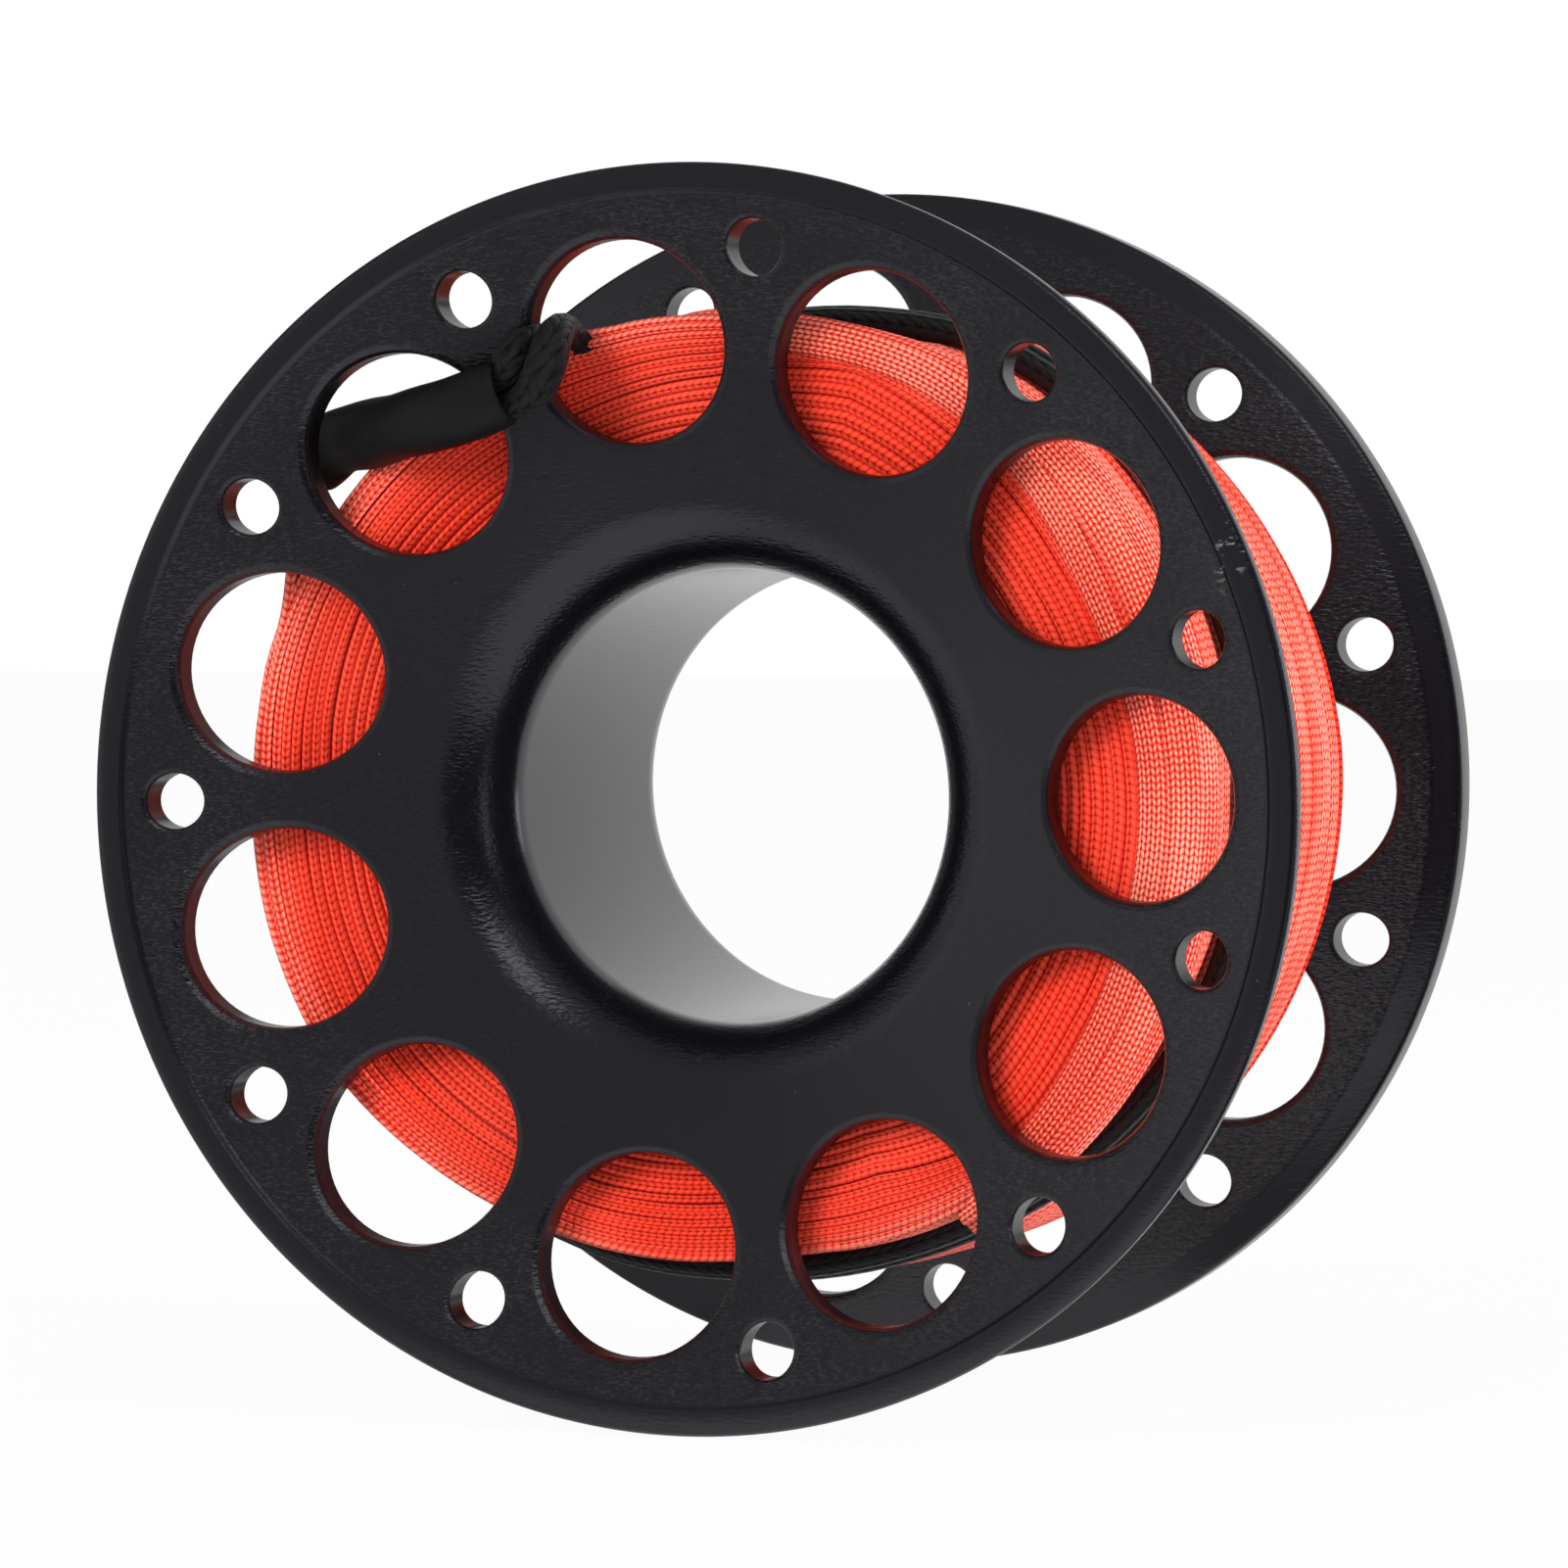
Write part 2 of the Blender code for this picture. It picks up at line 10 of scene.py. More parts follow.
import bmesh
import bpy
import numpy as np
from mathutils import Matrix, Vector


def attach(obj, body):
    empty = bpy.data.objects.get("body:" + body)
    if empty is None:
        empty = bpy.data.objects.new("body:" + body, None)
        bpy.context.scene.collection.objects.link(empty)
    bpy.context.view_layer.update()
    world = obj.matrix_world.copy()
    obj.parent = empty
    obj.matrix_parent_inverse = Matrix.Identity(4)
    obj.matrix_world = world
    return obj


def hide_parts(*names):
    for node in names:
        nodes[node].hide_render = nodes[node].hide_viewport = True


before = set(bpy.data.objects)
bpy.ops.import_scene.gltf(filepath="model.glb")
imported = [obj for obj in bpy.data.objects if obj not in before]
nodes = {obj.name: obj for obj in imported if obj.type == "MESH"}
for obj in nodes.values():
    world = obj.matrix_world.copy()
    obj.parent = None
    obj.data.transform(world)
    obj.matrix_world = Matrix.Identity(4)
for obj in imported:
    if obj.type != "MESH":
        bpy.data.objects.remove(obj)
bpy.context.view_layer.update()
print("CAD nodes:", ", ".join(sorted(nodes)))

# %% [markdown]
# The sizes of the spool are repeated here, because every new piece has to sit where its
# CAD piece is. The dished flanges are cones, so one slope gives the height of their faces
# at any radius. Lengths are in metres and the letters r and w mean a radius and a height
# along the axis, with the front flange at the positive end.

# %% Sizes of the spool
FLANGE_RADIUS = 0.0475
HALF_WIDTH = 0.027
BORE_RADIUS = 0.01725
BARREL_RADIUS = 0.0205
SPIGOT_RADIUS = 0.0197
SPIGOT_LENGTH = 0.0016
SPIGOT_PAST_THROAT = 0.00413
PACK_RADIUS = 0.0382
WEB = 0.0032
LAND_WIDTH = 0.0024
LAND_RISE = 0.0005
EDGE_ROUND = 0.0007
DISH_SLOPE = 0.268
LARGE_CIRCLE = FLANGE_RADIUS * 0.7316
SMALL_CIRCLE = FLANGE_RADIUS * 0.8737
HOLE_COUNT = 11
LARGE_HOLE_RADIUS = 0.0076
SMALL_HOLE_RADIUS = 0.00225
FIRST_HOLE = 98.9
REAR_TURN = -1.4
LINE_WIDTH = 0.00265
LINE_THICKNESS = 0.0013
GAP = 0.0003

DISH_COSINE = 1 / math.hypot(1, DISH_SLOPE)
DISH_SINE = DISH_SLOPE * DISH_COSINE
LAND_START = FLANGE_RADIUS - LAND_WIDTH
FACE_AT_LAND = HALF_WIDTH - LAND_RISE


def outer_face(r):
    return FACE_AT_LAND + DISH_SLOPE * (r - LAND_START)


def inner_face(r):
    return outer_face(r) - WEB


def spool_point(degrees, r, w):
    """A point at an angle, a radius and a height along the axis."""
    angle = math.radians(degrees)
    return Vector((r * math.cos(angle), -w, r * math.sin(angle)))


print("inner face at the pack's edge, mm:", round(inner_face(PACK_RADIUS) * 1000, 2))

# %% [markdown]
# The camera stands a little to the right of the spool's axis and almost level with it. Its
# place and focal length were fitted to the edges and holes of both flanges, so a long lens
# far away gives the photograph's flat look. A tracking rotation aims it at one point.

# %% Camera
def link(thing):
    bpy.context.scene.collection.objects.link(thing)


camera_data = bpy.data.cameras.new("product camera")
camera_data.lens = 162.8
camera_data.sensor_width = 36.0
camera_data.clip_start = 0.01
camera = bpy.data.objects.new("product camera", camera_data)
camera.location = (0.17885, -0.52308, 0.01873)
aim = Vector((-0.00093, 0.0, 0.00043))
camera.rotation_euler = (aim - camera.location).to_track_quat("-Z", "Y").to_euler()
link(camera)
bpy.context.scene.camera = camera
bpy.context.scene.view_settings.view_transform = "Standard"
print("camera distance, m:", round((aim - camera.location).length, 3))

# %% [markdown]
# Shader maths reads best as ordinary arithmetic. A Wire is the output of a node, and its
# operators add Math nodes. A Finish holds the nodes of one material, or of the world: its
# add method makes any other node, sets its settings first and then links or sets its
# inputs.


# %% A small language for materials
class Wire:
    """The output of a node, with arithmetic that adds Math nodes."""

    def __init__(self, finish, socket):
        self.finish, self.socket = finish, socket

    def math(self, operation, *others):
        values = dict(enumerate((self,) + others))
        return self.finish.add("ShaderNodeMath", {"operation": operation}, values)

    def __add__(self, other):
        return self.math("ADD", other)

    def __sub__(self, other):
        return self.math("SUBTRACT", other)

    def __rsub__(self, other):
        return self.finish.add("ShaderNodeMath", {"operation": "SUBTRACT"}, {0: other, 1: self})

    def __mul__(self, other):
        return self.math("MULTIPLY", other)

    __radd__ = __add__
    __rmul__ = __mul__

    def ramp(self, low, high, start=0.0, end=1.0):
        """A smooth step from start to end while the value goes from low to high."""
        settings = {"interpolation_type": "SMOOTHSTEP"}
        values = {"Value": self, "From Min": low, "From Max": high, "To Min": start, "To Max": end}
        return self.finish.add("ShaderNodeMapRange", settings, values)


class Finish:
    """The nodes of one material, or of the world."""

    def __init__(self, owner):
        owner.use_nodes = True
        self.owner, self.tree = owner, owner.node_tree
        self.shader = self.tree.nodes.get("Principled BSDF")

    def add(self, kind, settings=None, values=None, out=0):
        node = self.tree.nodes.new(kind)
        for name, value in (settings or {}).items():
            setattr(node, name, value)
        for name, value in (values or {}).items():
            self.put(node.inputs[name], value)
        return Wire(self, node.outputs[out])

    def put(self, socket, value):
        if isinstance(value, Wire):
            self.tree.links.new(value.socket, socket)
        else:
            socket.default_value = value

    def surface(self, **values):
        for name, value in values.items():
            self.put(self.shader.inputs[name.replace("_", " ")], value)
        print(self.owner.name, "nodes:", len(self.tree.nodes))
        return self.owner

    def mix(self, factor, first, second):
        """A colour between two others."""
        values = {"Factor": factor, 6: first, 7: second}
        return self.add("ShaderNodeMix", {"data_type": "RGBA"}, values, out=2)

    def vector(self, operation, first, second=None, out=0):
        """One Vector Math node; out is 1 where its answer is a number."""
        values = {0: first} if second is None else {0: first, 1: second}
        return self.add("ShaderNodeVectorMath", {"operation": operation}, values, out)

    def split(self, vector):
        """The three numbers of a vector."""
        node = self.add("ShaderNodeSeparateXYZ", None, {0: vector}).socket.node
        return [Wire(self, output) for output in node.outputs]

    def from_axis(self, place):
        """How far a place is from the spool's axis."""
        return self.vector("LENGTH", self.vector("MULTIPLY", place, (1, 0, 1)), out=1)

    def noise(self, vector, scale, detail=2.0):
        values = {"Vector": vector, "Scale": scale, "Detail": detail}
        return self.add("ShaderNodeTexNoise", None, values)

    def bump(self, height, normal=None):
        """Relief from a height in metres."""
        values = {"Height": height, "Distance": 1.0, "Strength": 1.0}
        if normal:
            values["Normal"] = normal
        return self.add("ShaderNodeBump", None, values)


print("material helpers ready")

# %% [markdown]
# The spool is turned from aluminium, blasted and anodised black. Its faces and its flare
# keep a fine leathery grain, while the bore and the rim's land are smoother, with faint
# streaks along the bore. All of that depends only on how far a point is from the axis, so
# masks of the radius choose the grain and the gloss. Walls that run along the axis, such
# as those of the holes, are picked out by their own normal. The grain is kept a few
# hundredths of a millimetre deep: if it is steeper than that, black metal looks hazy.
# The tips of the outer grain are worn a little lighter, and a few nicks sit on one place
# of the rim. A Bevel node rounds the sharp edges for the light.


# %% Black anodised metal
METAL_BLACK = (0.0038, 0.0033, 0.0047, 1)
METAL_TIPS = (0.0135, 0.0128, 0.0132, 1)
METAL_WORN = (0.16, 0.155, 0.15, 1)
GRAIN_DEPTH = 0.000046
FINE_DEPTH = 0.0000020
STREAK_DEPTH = 0.0000045
EDGE_BEVEL = 0.00025
GRAIN_STRETCH = (0.55, 1.0, 1.9)
STREAK_STRETCH = (1.0, 0.06, 1.0)
SCUFF_STRETCH = (1.0, 1.0, 0.42)
SCUFF = (0.0425, -0.0262, 0.0187 * 0.42)
SCUFF_DEPTH = 0.00004


def make_metal():
    finish = Finish(bpy.data.materials.new("black anodised metal"))
    place = finish.add("ShaderNodeTexCoord", out=3)
    normal = finish.add("ShaderNodeNewGeometry", out=1)
    radius = finish.from_axis(place)
    facing = finish.split(normal)[1].math("ABSOLUTE")
    walls = facing.ramp(0.35, 0.6, 1.0, 0.0) * radius.ramp(0.0255, 0.0265)
    walls = walls * radius.ramp(0.0450, 0.0455, 1.0, 0.0)
    bore = radius.ramp(BORE_RADIUS + 0.0001, BORE_RADIUS + 0.0006, 1.0, 0.0)
    land = radius.ramp(LAND_START - 0.0002, LAND_START + 0.0003)
    corner = radius.ramp(0.0462, 0.0470)
    flare = radius.ramp(0.0205, 0.0250, 1.0, 0.0)
    outer = radius.ramp(0.0300, 0.0400, 0.25, 1.0)
    patchy = finish.noise(place, 110.0).ramp(0.3, 0.65, 0.45, 1.0)
    stretched = finish.vector("MULTIPLY", place, GRAIN_STRETCH)
    grain = finish.noise(stretched, 2300.0, 1.0)
    fine = finish.noise(place, 9000.0)
    rough_skin = (outer * 1.9).math("MAXIMUM", flare * 1.2) * (1 - land * 0.8 + corner * 0.2)
    rough_skin = rough_skin * (1 - bore) * (1 - walls)
    streaks = finish.noise(finish.vector("MULTIPLY", place, STREAK_STRETCH), 5200.0)
    relief = rough_skin * patchy * grain * GRAIN_DEPTH + fine * FINE_DEPTH
    relief = relief + (bore * 2.4 + walls) * streaks * STREAK_DEPTH
    bevel = finish.add("ShaderNodeBevel", {"samples": 4}, {"Radius": EDGE_BEVEL})
    rough = 0.22 + walls * 0.06 - bore * 0.05 + fine * 0.04 - flare * 0.03
    squeezed = finish.vector("MULTIPLY", place, SCUFF_STRETCH)
    away = finish.vector("DISTANCE", squeezed, SCUFF, out=1)
    nicks = finish.noise(stretched, 1500.0).ramp(0.60, 0.68)
    scuffed = away.ramp(0.0007, 0.0018, 1.0, 0.0) * nicks
    specks = finish.noise(place, 2500.0, 1.0).ramp(0.80, 0.84) * 0.3
    tips = finish.noise(stretched, 3800.0, 1.0).ramp(0.50, 0.66) * outer * patchy * (1 - land)
    colour = finish.mix(tips, METAL_BLACK, METAL_TIPS)
    colour = finish.mix(scuffed.math("MAXIMUM", specks), colour, METAL_WORN)
    return finish.surface(
        Base_Color=colour, Roughness=rough + scuffed * 0.2, Metallic=0.0, IOR=1.5,
        Specular_IOR_Level=0.48, Specular_Tint=(0.96, 0.93, 1.0, 1),
        Normal=finish.bump(relief + scuffed * SCUFF_DEPTH, bevel))


METAL = make_metal()

# %% [markdown]
# Each flange is turned: its section is a short list of radii and heights, carried once
# round the axis. The front flange runs without a seam through a round flare into the
# barrel, which ends in a spigot behind the rear throat. The rear flange is the same form
# turned round. The section is written as in the CAD model, with more points on its rounds
# and a rounder back edge on the front rim. The holes are cut by a Boolean with finer
# drills, which widen at both ends, so that each hole has a small chamfer.

# %% Sections of the flanges
FLARE_STEPS = 24
FLARE_RADIUS = (LARGE_CIRCLE - BORE_RADIUS) * 0.294 / (1 - DISH_SINE)
THROAT = outer_face(BORE_RADIUS + FLARE_RADIUS * (1 - DISH_SINE)) - FLARE_RADIUS * DISH_COSINE
FLARE_END = math.acos(DISH_SINE)
ARC = [math.radians(a) for a in (0, 15, 30, 45, 60, 75, 90)]
RIM_ROUND = EDGE_ROUND * 0.8
FRONT_BACK_ROUND = EDGE_ROUND * 2.9
REAR_BACK_ROUND = EDGE_ROUND * 0.5
LAND_STEP = ((-0.0002, FACE_AT_LAND - 0.00002), (0.0001, FACE_AT_LAND + 0.0001),
             (LAND_RISE - 0.0001, HALF_WIDTH - 0.00008), (LAND_RISE + 0.0003, HALF_WIDTH))


def flare_points(start, end, count, side):
    points = []
    for index in range(count + 1):
        angle = start + (end - start) * index / count
        r = BORE_RADIUS + FLARE_RADIUS * (1 - math.cos(angle))
        points.append((r, side * (THROAT + FLARE_RADIUS * math.sin(angle))))
    return points


def rim_points(side, back_round):
    """The rim's section: the step of the land, the rounded edge and the back edge."""
    points = [(LAND_START + r, w) for r, w in LAND_STEP]
    for a in ARC:
        points.append((FLANGE_RADIUS - RIM_ROUND * (1 - math.sin(a)),
                       HALF_WIDTH - RIM_ROUND * (1 - math.cos(a))))
    for a in ARC:
        r = FLANGE_RADIUS - back_round * (1 - math.cos(a))
        points.append((r, inner_face(r) + back_round * (1 - math.sin(a))))
    return [(r, side * w) for r, w in points]


def front_section():
    end = THROAT + SPIGOT_PAST_THROAT
    end_angle = math.asin(SPIGOT_PAST_THROAT / FLARE_RADIUS)
    section = rim_points(1, FRONT_BACK_ROUND)
    section += [(BARREL_RADIUS, inner_face(BARREL_RADIUS)), (BARREL_RADIUS, SPIGOT_LENGTH - end),
                (SPIGOT_RADIUS, SPIGOT_LENGTH - end), (SPIGOT_RADIUS, -end)]
    section += reversed(flare_points(0.0, end_angle, 4, -1))
    return section + flare_points(0.0, FLARE_END, FLARE_STEPS, 1)


def rear_section():
    height = SPIGOT_PAST_THROAT + GAP
    start = math.asin(height / FLARE_RADIUS)
    seat = SPIGOT_RADIUS + GAP
    section = rim_points(-1, REAR_BACK_ROUND)[::-1]
    section += reversed(flare_points(start, FLARE_END, FLARE_STEPS, -1))
    return section + [(seat, -THROAT - height), (seat, -inner_face(seat))]


print("points in the front section:", len(front_section()))

# %% [markdown]
# The mesh of a turned piece is a row of rings: one for each step round the axis, with one
# point for each point of the section. The drills are closed bodies along the axis that
# widen where they meet a face, which gives each hole its chamfer. The Boolean's result is
# kept as the piece's mesh, and edges sharper than 18 degrees stay sharp.

# %% Flanges with their holes
TURN_STEPS = 256
SHARP_ANGLE = math.radians(18)
SMALL_HOLE_SHOWN = SMALL_HOLE_RADIUS - 0.00012
DRILL_OVER = 0.00003
DRILL_REACH = 0.004
# Circle, radius, chamfer, steps and turn in pitches of the large and the small holes.
HOLE_KINDS = ((LARGE_CIRCLE, LARGE_HOLE_RADIUS, 0.00062, 72, 0.0),
              (SMALL_CIRCLE, SMALL_HOLE_SHOWN, 0.00030, 36, 0.5))


def new_mesh(name, points, faces):
    mesh = bpy.data.meshes.new(name)
    mesh.from_pydata(points, [], faces)
    return mesh


def ring_numbers(count, size, first=0):
    """The numbers of the points in a row of rings, each of the same size."""
    return (np.arange(count * size).reshape(count, size) + first).tolist()


def faces_between(low, high):
    """Faces between two rings of point numbers."""
    return list(zip(low, low[1:] + low[:1], high[1:] + high[:1], high))


def turned_mesh(name, section):
    points, faces = [], []
    for step in range(TURN_STEPS):
        points += [spool_point(360 * step / TURN_STEPS, r, w) for r, w in section]
    rings = ring_numbers(TURN_STEPS, len(section))
    for low, high in zip(rings, rings[1:] + rings[:1]):
        faces += faces_between(low, high)
    return outward(new_mesh(name, points, faces))


def drill_rings(circle, radius, chamfer):
    """The size of each ring of a drill, and its height at a radius from the spool's axis."""
    wide = radius + chamfer + DRILL_OVER
    edge = ((wide, -DRILL_OVER), (radius + chamfer * 0.3, chamfer * 0.3), (radius, chamfer))
    rings = [(wide, lambda r: inner_face(circle) - DRILL_REACH)]
    rings += [(size, lambda r, depth=depth: inner_face(r) + depth) for size, depth in edge]
    rings += [(size, lambda r, depth=depth: outer_face(r) - depth) for size, depth in edge[::-1]]
    return rings + [(wide, lambda r: outer_face(circle) + DRILL_REACH)]


def drill_mesh(turn, side):
    points, faces = [], []
    for circle, radius, chamfer, steps, shift in HOLE_KINDS:
        rings = drill_rings(circle, radius, chamfer)
        for index in range(HOLE_COUNT):
            degrees = FIRST_HOLE + turn - (shift + index) * 360 / HOLE_COUNT
            middle = spool_point(degrees, circle, 0.0)
            numbers = ring_numbers(len(rings), steps, len(points))
            for size, height in rings:
                for step in range(steps):
                    beam = math.tau * step / steps
                    point = middle + Vector((math.cos(beam), 0.0, math.sin(beam))) * size
                    point.y = -side * height(math.hypot(point.x, point.z))
                    points.append(point)
            faces += [tuple(numbers[0][::-1]), tuple(numbers[-1])]
            for low, high in zip(numbers, numbers[1:]):
                faces += faces_between(low, high)
    return outward(new_mesh("drills", points, faces))


def outward(mesh):
    """Turn every face of a closed mesh outward."""
    work = bmesh.new()
    work.from_mesh(mesh)
    bmesh.ops.recalc_face_normals(work, faces=work.faces)
    work.to_mesh(mesh)
    work.free()
    return mesh


def show(name, mesh, material, slot, *replaced):
    """Link a finished piece, let it ride on the spool and hide the CAD parts it replaces."""
    piece = bpy.data.objects.new(name, mesh)
    link(piece)
    mesh.materials.clear()
    mesh.materials.append(material)
    mesh.shade_smooth()
    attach(piece, "root")
    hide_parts(*replaced)
    print(name, "faces:", len(mesh.polygons))


def make_flange(name, section, turn, side, node):
    blank = bpy.data.objects.new(name + " blank", turned_mesh(name, section))
    drills = bpy.data.objects.new(name + " drills", drill_mesh(turn, side))
    for helper in (blank, drills):
        link(helper)
    cut = blank.modifiers.new("drill", "BOOLEAN")
    cut.operation, cut.solver, cut.object = "DIFFERENCE", "EXACT", drills
    graph = bpy.context.evaluated_depsgraph_get()
    mesh = bpy.data.meshes.new_from_object(blank.evaluated_get(graph))
    for helper in (blank, drills):
        bpy.data.objects.remove(helper)
    show(name, mesh, METAL, "anodised_metal", node)
    mesh.set_sharp_from_angle(angle=SHARP_ANGLE)


make_flange("front_flange_turned", front_section(), 0.0, 1, "front_flange_and_barrel")
make_flange("rear_flange_turned", rear_section(), REAR_TURN, -1, "rear_flange")

# %% [markdown]
# The line is a flat braid. Seen close, its yarns show as columns of slanted stitches that
# lean the other way in each next column, like a row of plaits. Two UV coordinates carry
# that: U counts stitches along the line and V counts columns across it. The height of a
# stitch comes from two sine humps, and the same height drives the relief and the colour:
# painted shade darkens the grooves between stitches, and a painted highlight makes the
# tips paler where the line lies on the outside of the pack and on the flat bands at the
# front, whose columns are counted from a high number to tell them apart.

# %% Braided finishes
# Painted shade: the deep red that fills the grooves between the stitches.
LINE_GROOVE_SHADE = (0.45, 0.007, 0.002, 1)
LINE_BODY = (1.0, 0.050, 0.018, 1)
# Painted highlight: the pale salmon of brightly lit stitch tips.
LINE_PAINTED_HIGHLIGHT = (1.0, 0.35, 0.26, 1)
LINE_DRIFT = 0.07
LINE_RELIEF = 0.00020
BAND_COLUMN = 100


def braid_height(finish, slant):
    """Height of the stitches from 0 to 1, and the coordinate across the columns."""
    along, across, _ = finish.split(finish.add("ShaderNodeUVMap", {"uv_map": "braid"}))
    column = across.math("FLOOR")
    inside = across - column
    odd = column.math("FLOORED_MODULO", 2.0)
    lean = (inside - 0.5) * (odd * 2.0 - 1.0) * slant
    stitch = (along + lean).math("FRACT")
    hump = (inside * math.pi).math("SINE").math("POWER", 0.6)
    bead = (stitch * math.pi).math("SINE").math("POWER", 0.6)
    groove, notch = 1 - hump, 1 - bead
    spread = finish.add("ShaderNodeCombineXYZ", None, {0: (along + lean) * 2.5, 1: across * 8.0})
    yarn = finish.noise(spread, 1.0, 1.0)
    return 1.0 - groove * (notch * 0.42 + 0.40) - notch * 0.26 + yarn * 0.2 - 0.1, across


def make_line_finish():
    finish = Finish(bpy.data.materials.new("orange braided line"))
    height, across = braid_height(finish, 0.5)
    place = finish.add("ShaderNodeTexCoord", out=3)
    long_way = finish.vector("MULTIPLY", place, (0.35, 2.2, 0.35))
    drift = finish.noise(long_way, 160.0).ramp(0.3, 0.7, -LINE_DRIFT, LINE_DRIFT)
    # Painted shade darkens the low parts of the stitches.
    colour = finish.mix((height + drift).ramp(0.30, 0.92), LINE_GROOVE_SHADE, LINE_BODY)
    radius = finish.from_axis(place)
    bands = across.ramp(BAND_COLUMN - 10, BAND_COLUMN - 1)
    # Painted highlight: stitch tips paler on the outside of the pack and on the front bands.
    pale = radius.ramp(0.0335, 0.0370, 0.15, 0.9).math("MAXIMUM", bands)
    colour = finish.mix((height + drift).ramp(0.76, 1.0) * pale, colour, LINE_PAINTED_HIGHLIGHT)
    return finish.surface(
        Base_Color=colour, Roughness=0.6, Specular_IOR_Level=0.25, Sheen_Weight=0.12,
        Sheen_Roughness=0.4, Sheen_Tint=(1.0, 0.45, 0.32, 1),
        Normal=finish.bump(height * LINE_RELIEF))


LINE_FINISH = make_line_finish()

# %% [markdown]
# Every flat or round strand is swept: a small outline is carried along a route. At each
# point of the route it needs the direction across, the direction up and a scale in both.
# The strands of a piece share one mesh. The braid's UV coordinates come from the true
# length along the route, so all stitches are as long.

# %% Sweeping strands
def length_along(route):
    """Length along a route at each of its points."""
    steps = np.linalg.norm(np.diff(route, axis=0), axis=1)
    return np.concatenate([[0.0], np.cumsum(steps)])


class Strands:
    """Collects swept strands and makes one mesh of them."""

    def __init__(self):
        self.points, self.faces, self.uvs = [], [], []

    def sweep(self, route, across, up, outline, scale, stitch, columns, shift=0.0, ring=False):
        """Carry an outline of (across, up) pairs along a route. A ring closes on itself."""
        route, across, up, outline, size, v = (
            np.asarray(part, float) for part in (route, across, up, outline, scale, columns))
        points = (route[:, None]
                  + across[:, None] * outline[None, :, 0, None] * size[:, None, 0:1]
                  + up[:, None] * outline[None, :, 1, None] * size[:, None, 1:2])
        rows, spots = points.shape[:2]
        length = length_along(np.vstack([route, route[:1]]))
        whole = length[rows] if ring else length[rows - 1]
        u = length * (max(1, round(whole / stitch)) / whole) + shift
        rings = ring_numbers(rows, spots, len(self.points))
        after = rings[1:] + rings[:1] if ring else rings[1:]
        for row, (low, high) in enumerate(zip(rings, after)):
            self.faces += faces_between(low, high)
            for spot in range(spots):
                self.uvs += [(u[row], v[spot]), (u[row], v[spot + 1]),
                             (u[row + 1], v[spot + 1]), (u[row + 1], v[spot])]
        if not ring:
            for row, end in ((0, rings[0][::-1]), (rows - 1, rings[-1])):
                self.faces.append(tuple(end))
                self.uvs += [(u[row], v[0])] * spots
        self.points += [tuple(p) for p in points.reshape(-1, 3)]

    def show(self, name, material, slot, node):
        """Make one mesh of all strands and show it."""
        mesh = new_mesh(name, self.points, self.faces)
        layer = mesh.uv_layers.new(name="braid")
        layer.data.foreach_set("uv", np.asarray(self.uvs, np.float32).ravel())
        show(name, outward(mesh), material, slot, node)


print("sweeping ready")

# %% [markdown]
# The wound pack is not a true cylinder. It is a little fuller behind the middle, it leans
# up, and the leader lies in a shallow valley of it. The same few functions as in the CAD
# model give its radius at any angle and height. Three tables then bring it closer: the
# radius of its front edge, a dip at the top and a fuller part at the right rear.

# %% Form of the pack
# Angle, height as a share of the outermost turn's, and the valley's depth and half width
# as shares of the pack's radius.
LEADER_ROUTE = np.array((
    (112, 0.74, 0.000, 0.11), (107, 0.74, 0.050, 0.11), (103, 0.72, 0.080, 0.115),
    (98, 0.66, 0.080, 0.12), (90, 0.62, 0.075, 0.13), (82, 0.60, 0.052, 0.14),
    (75, 0.60, 0.034, 0.15), (70, 0.58, 0.016, 0.15), (65, 0.56, 0.000, 0.15),
    (56, 0.46, 0.000, 0.15), (45, 0.32, 0.008, 0.15), (30, 0.28, 0.016, 0.15),
    (15, 0.26, 0.020, 0.15), (0, 0.29, 0.026, 0.15), (-15, 0.27, 0.022, 0.15),
    (-30, 0.25, 0.030, 0.15), (-45, 0.34, 0.038, 0.15), (-60, 0.52, 0.044, 0.15),
    (-75, 0.62, 0.055, 0.15), (-90, 0.62, 0.060, 0.15), (-105, 0.57, 0.052, 0.15),
    (-120, 0.52, 0.044, 0.15), (-135, 0.48, 0.040, 0.15), (-150, 0.48, 0.020, 0.15),
    (-165, 0.48, 0.000, 0.15)))
# Angles with millimetres.
FRONT_EDGE = np.array((
    (-180, 37.4), (-163, 37.5), (-145, 37.4), (-130, 36.6), (-115, 35.8), (-97, 35.3),
    (-80, 35.05), (-65, 36.0), (-50, 36.9), (-32, 37.2), (0, 37.3), (33, 37.4), (56, 37.4),
    (66, 37.0), (76, 36.5), (88, 36.4), (99, 36.6), (105, 36.95), (110, 37.1), (131, 37.1),
    (150, 37.4), (164, 37.7), (180, 37.3)))
TOP_DIP = np.array((
    (-180, 0.0), (55, 0.0), (65, 0.4), (72, 0.8), (84, 1.2), (102, 1.1), (112, 0.5),
    (125, 0.0), (180, 0.0)))
REAR_FULLNESS = np.array((
    (-180, 0.0), (-85, 0.0), (-65, 0.7), (-40, 1.1), (5, 1.0), (30, 0.4), (55, 0.0),
    (180, 0.0)))
CROWN_SHARE = 0.0314
CROWN_CENTRE = -0.14 * HALF_WIDTH
LEAN_SHARE = 0.013


def crown(w):
    offset = (w - CROWN_CENTRE) / HALF_WIDTH
    return PACK_RADIUS * (1 - CROWN_SHARE * offset * offset)


EDGE_TURN = (inner_face(crown(HALF_WIDTH)) - GAP / DISH_COSINE - LINE_WIDTH / 2
             - LINE_THICKNESS * DISH_SLOPE)


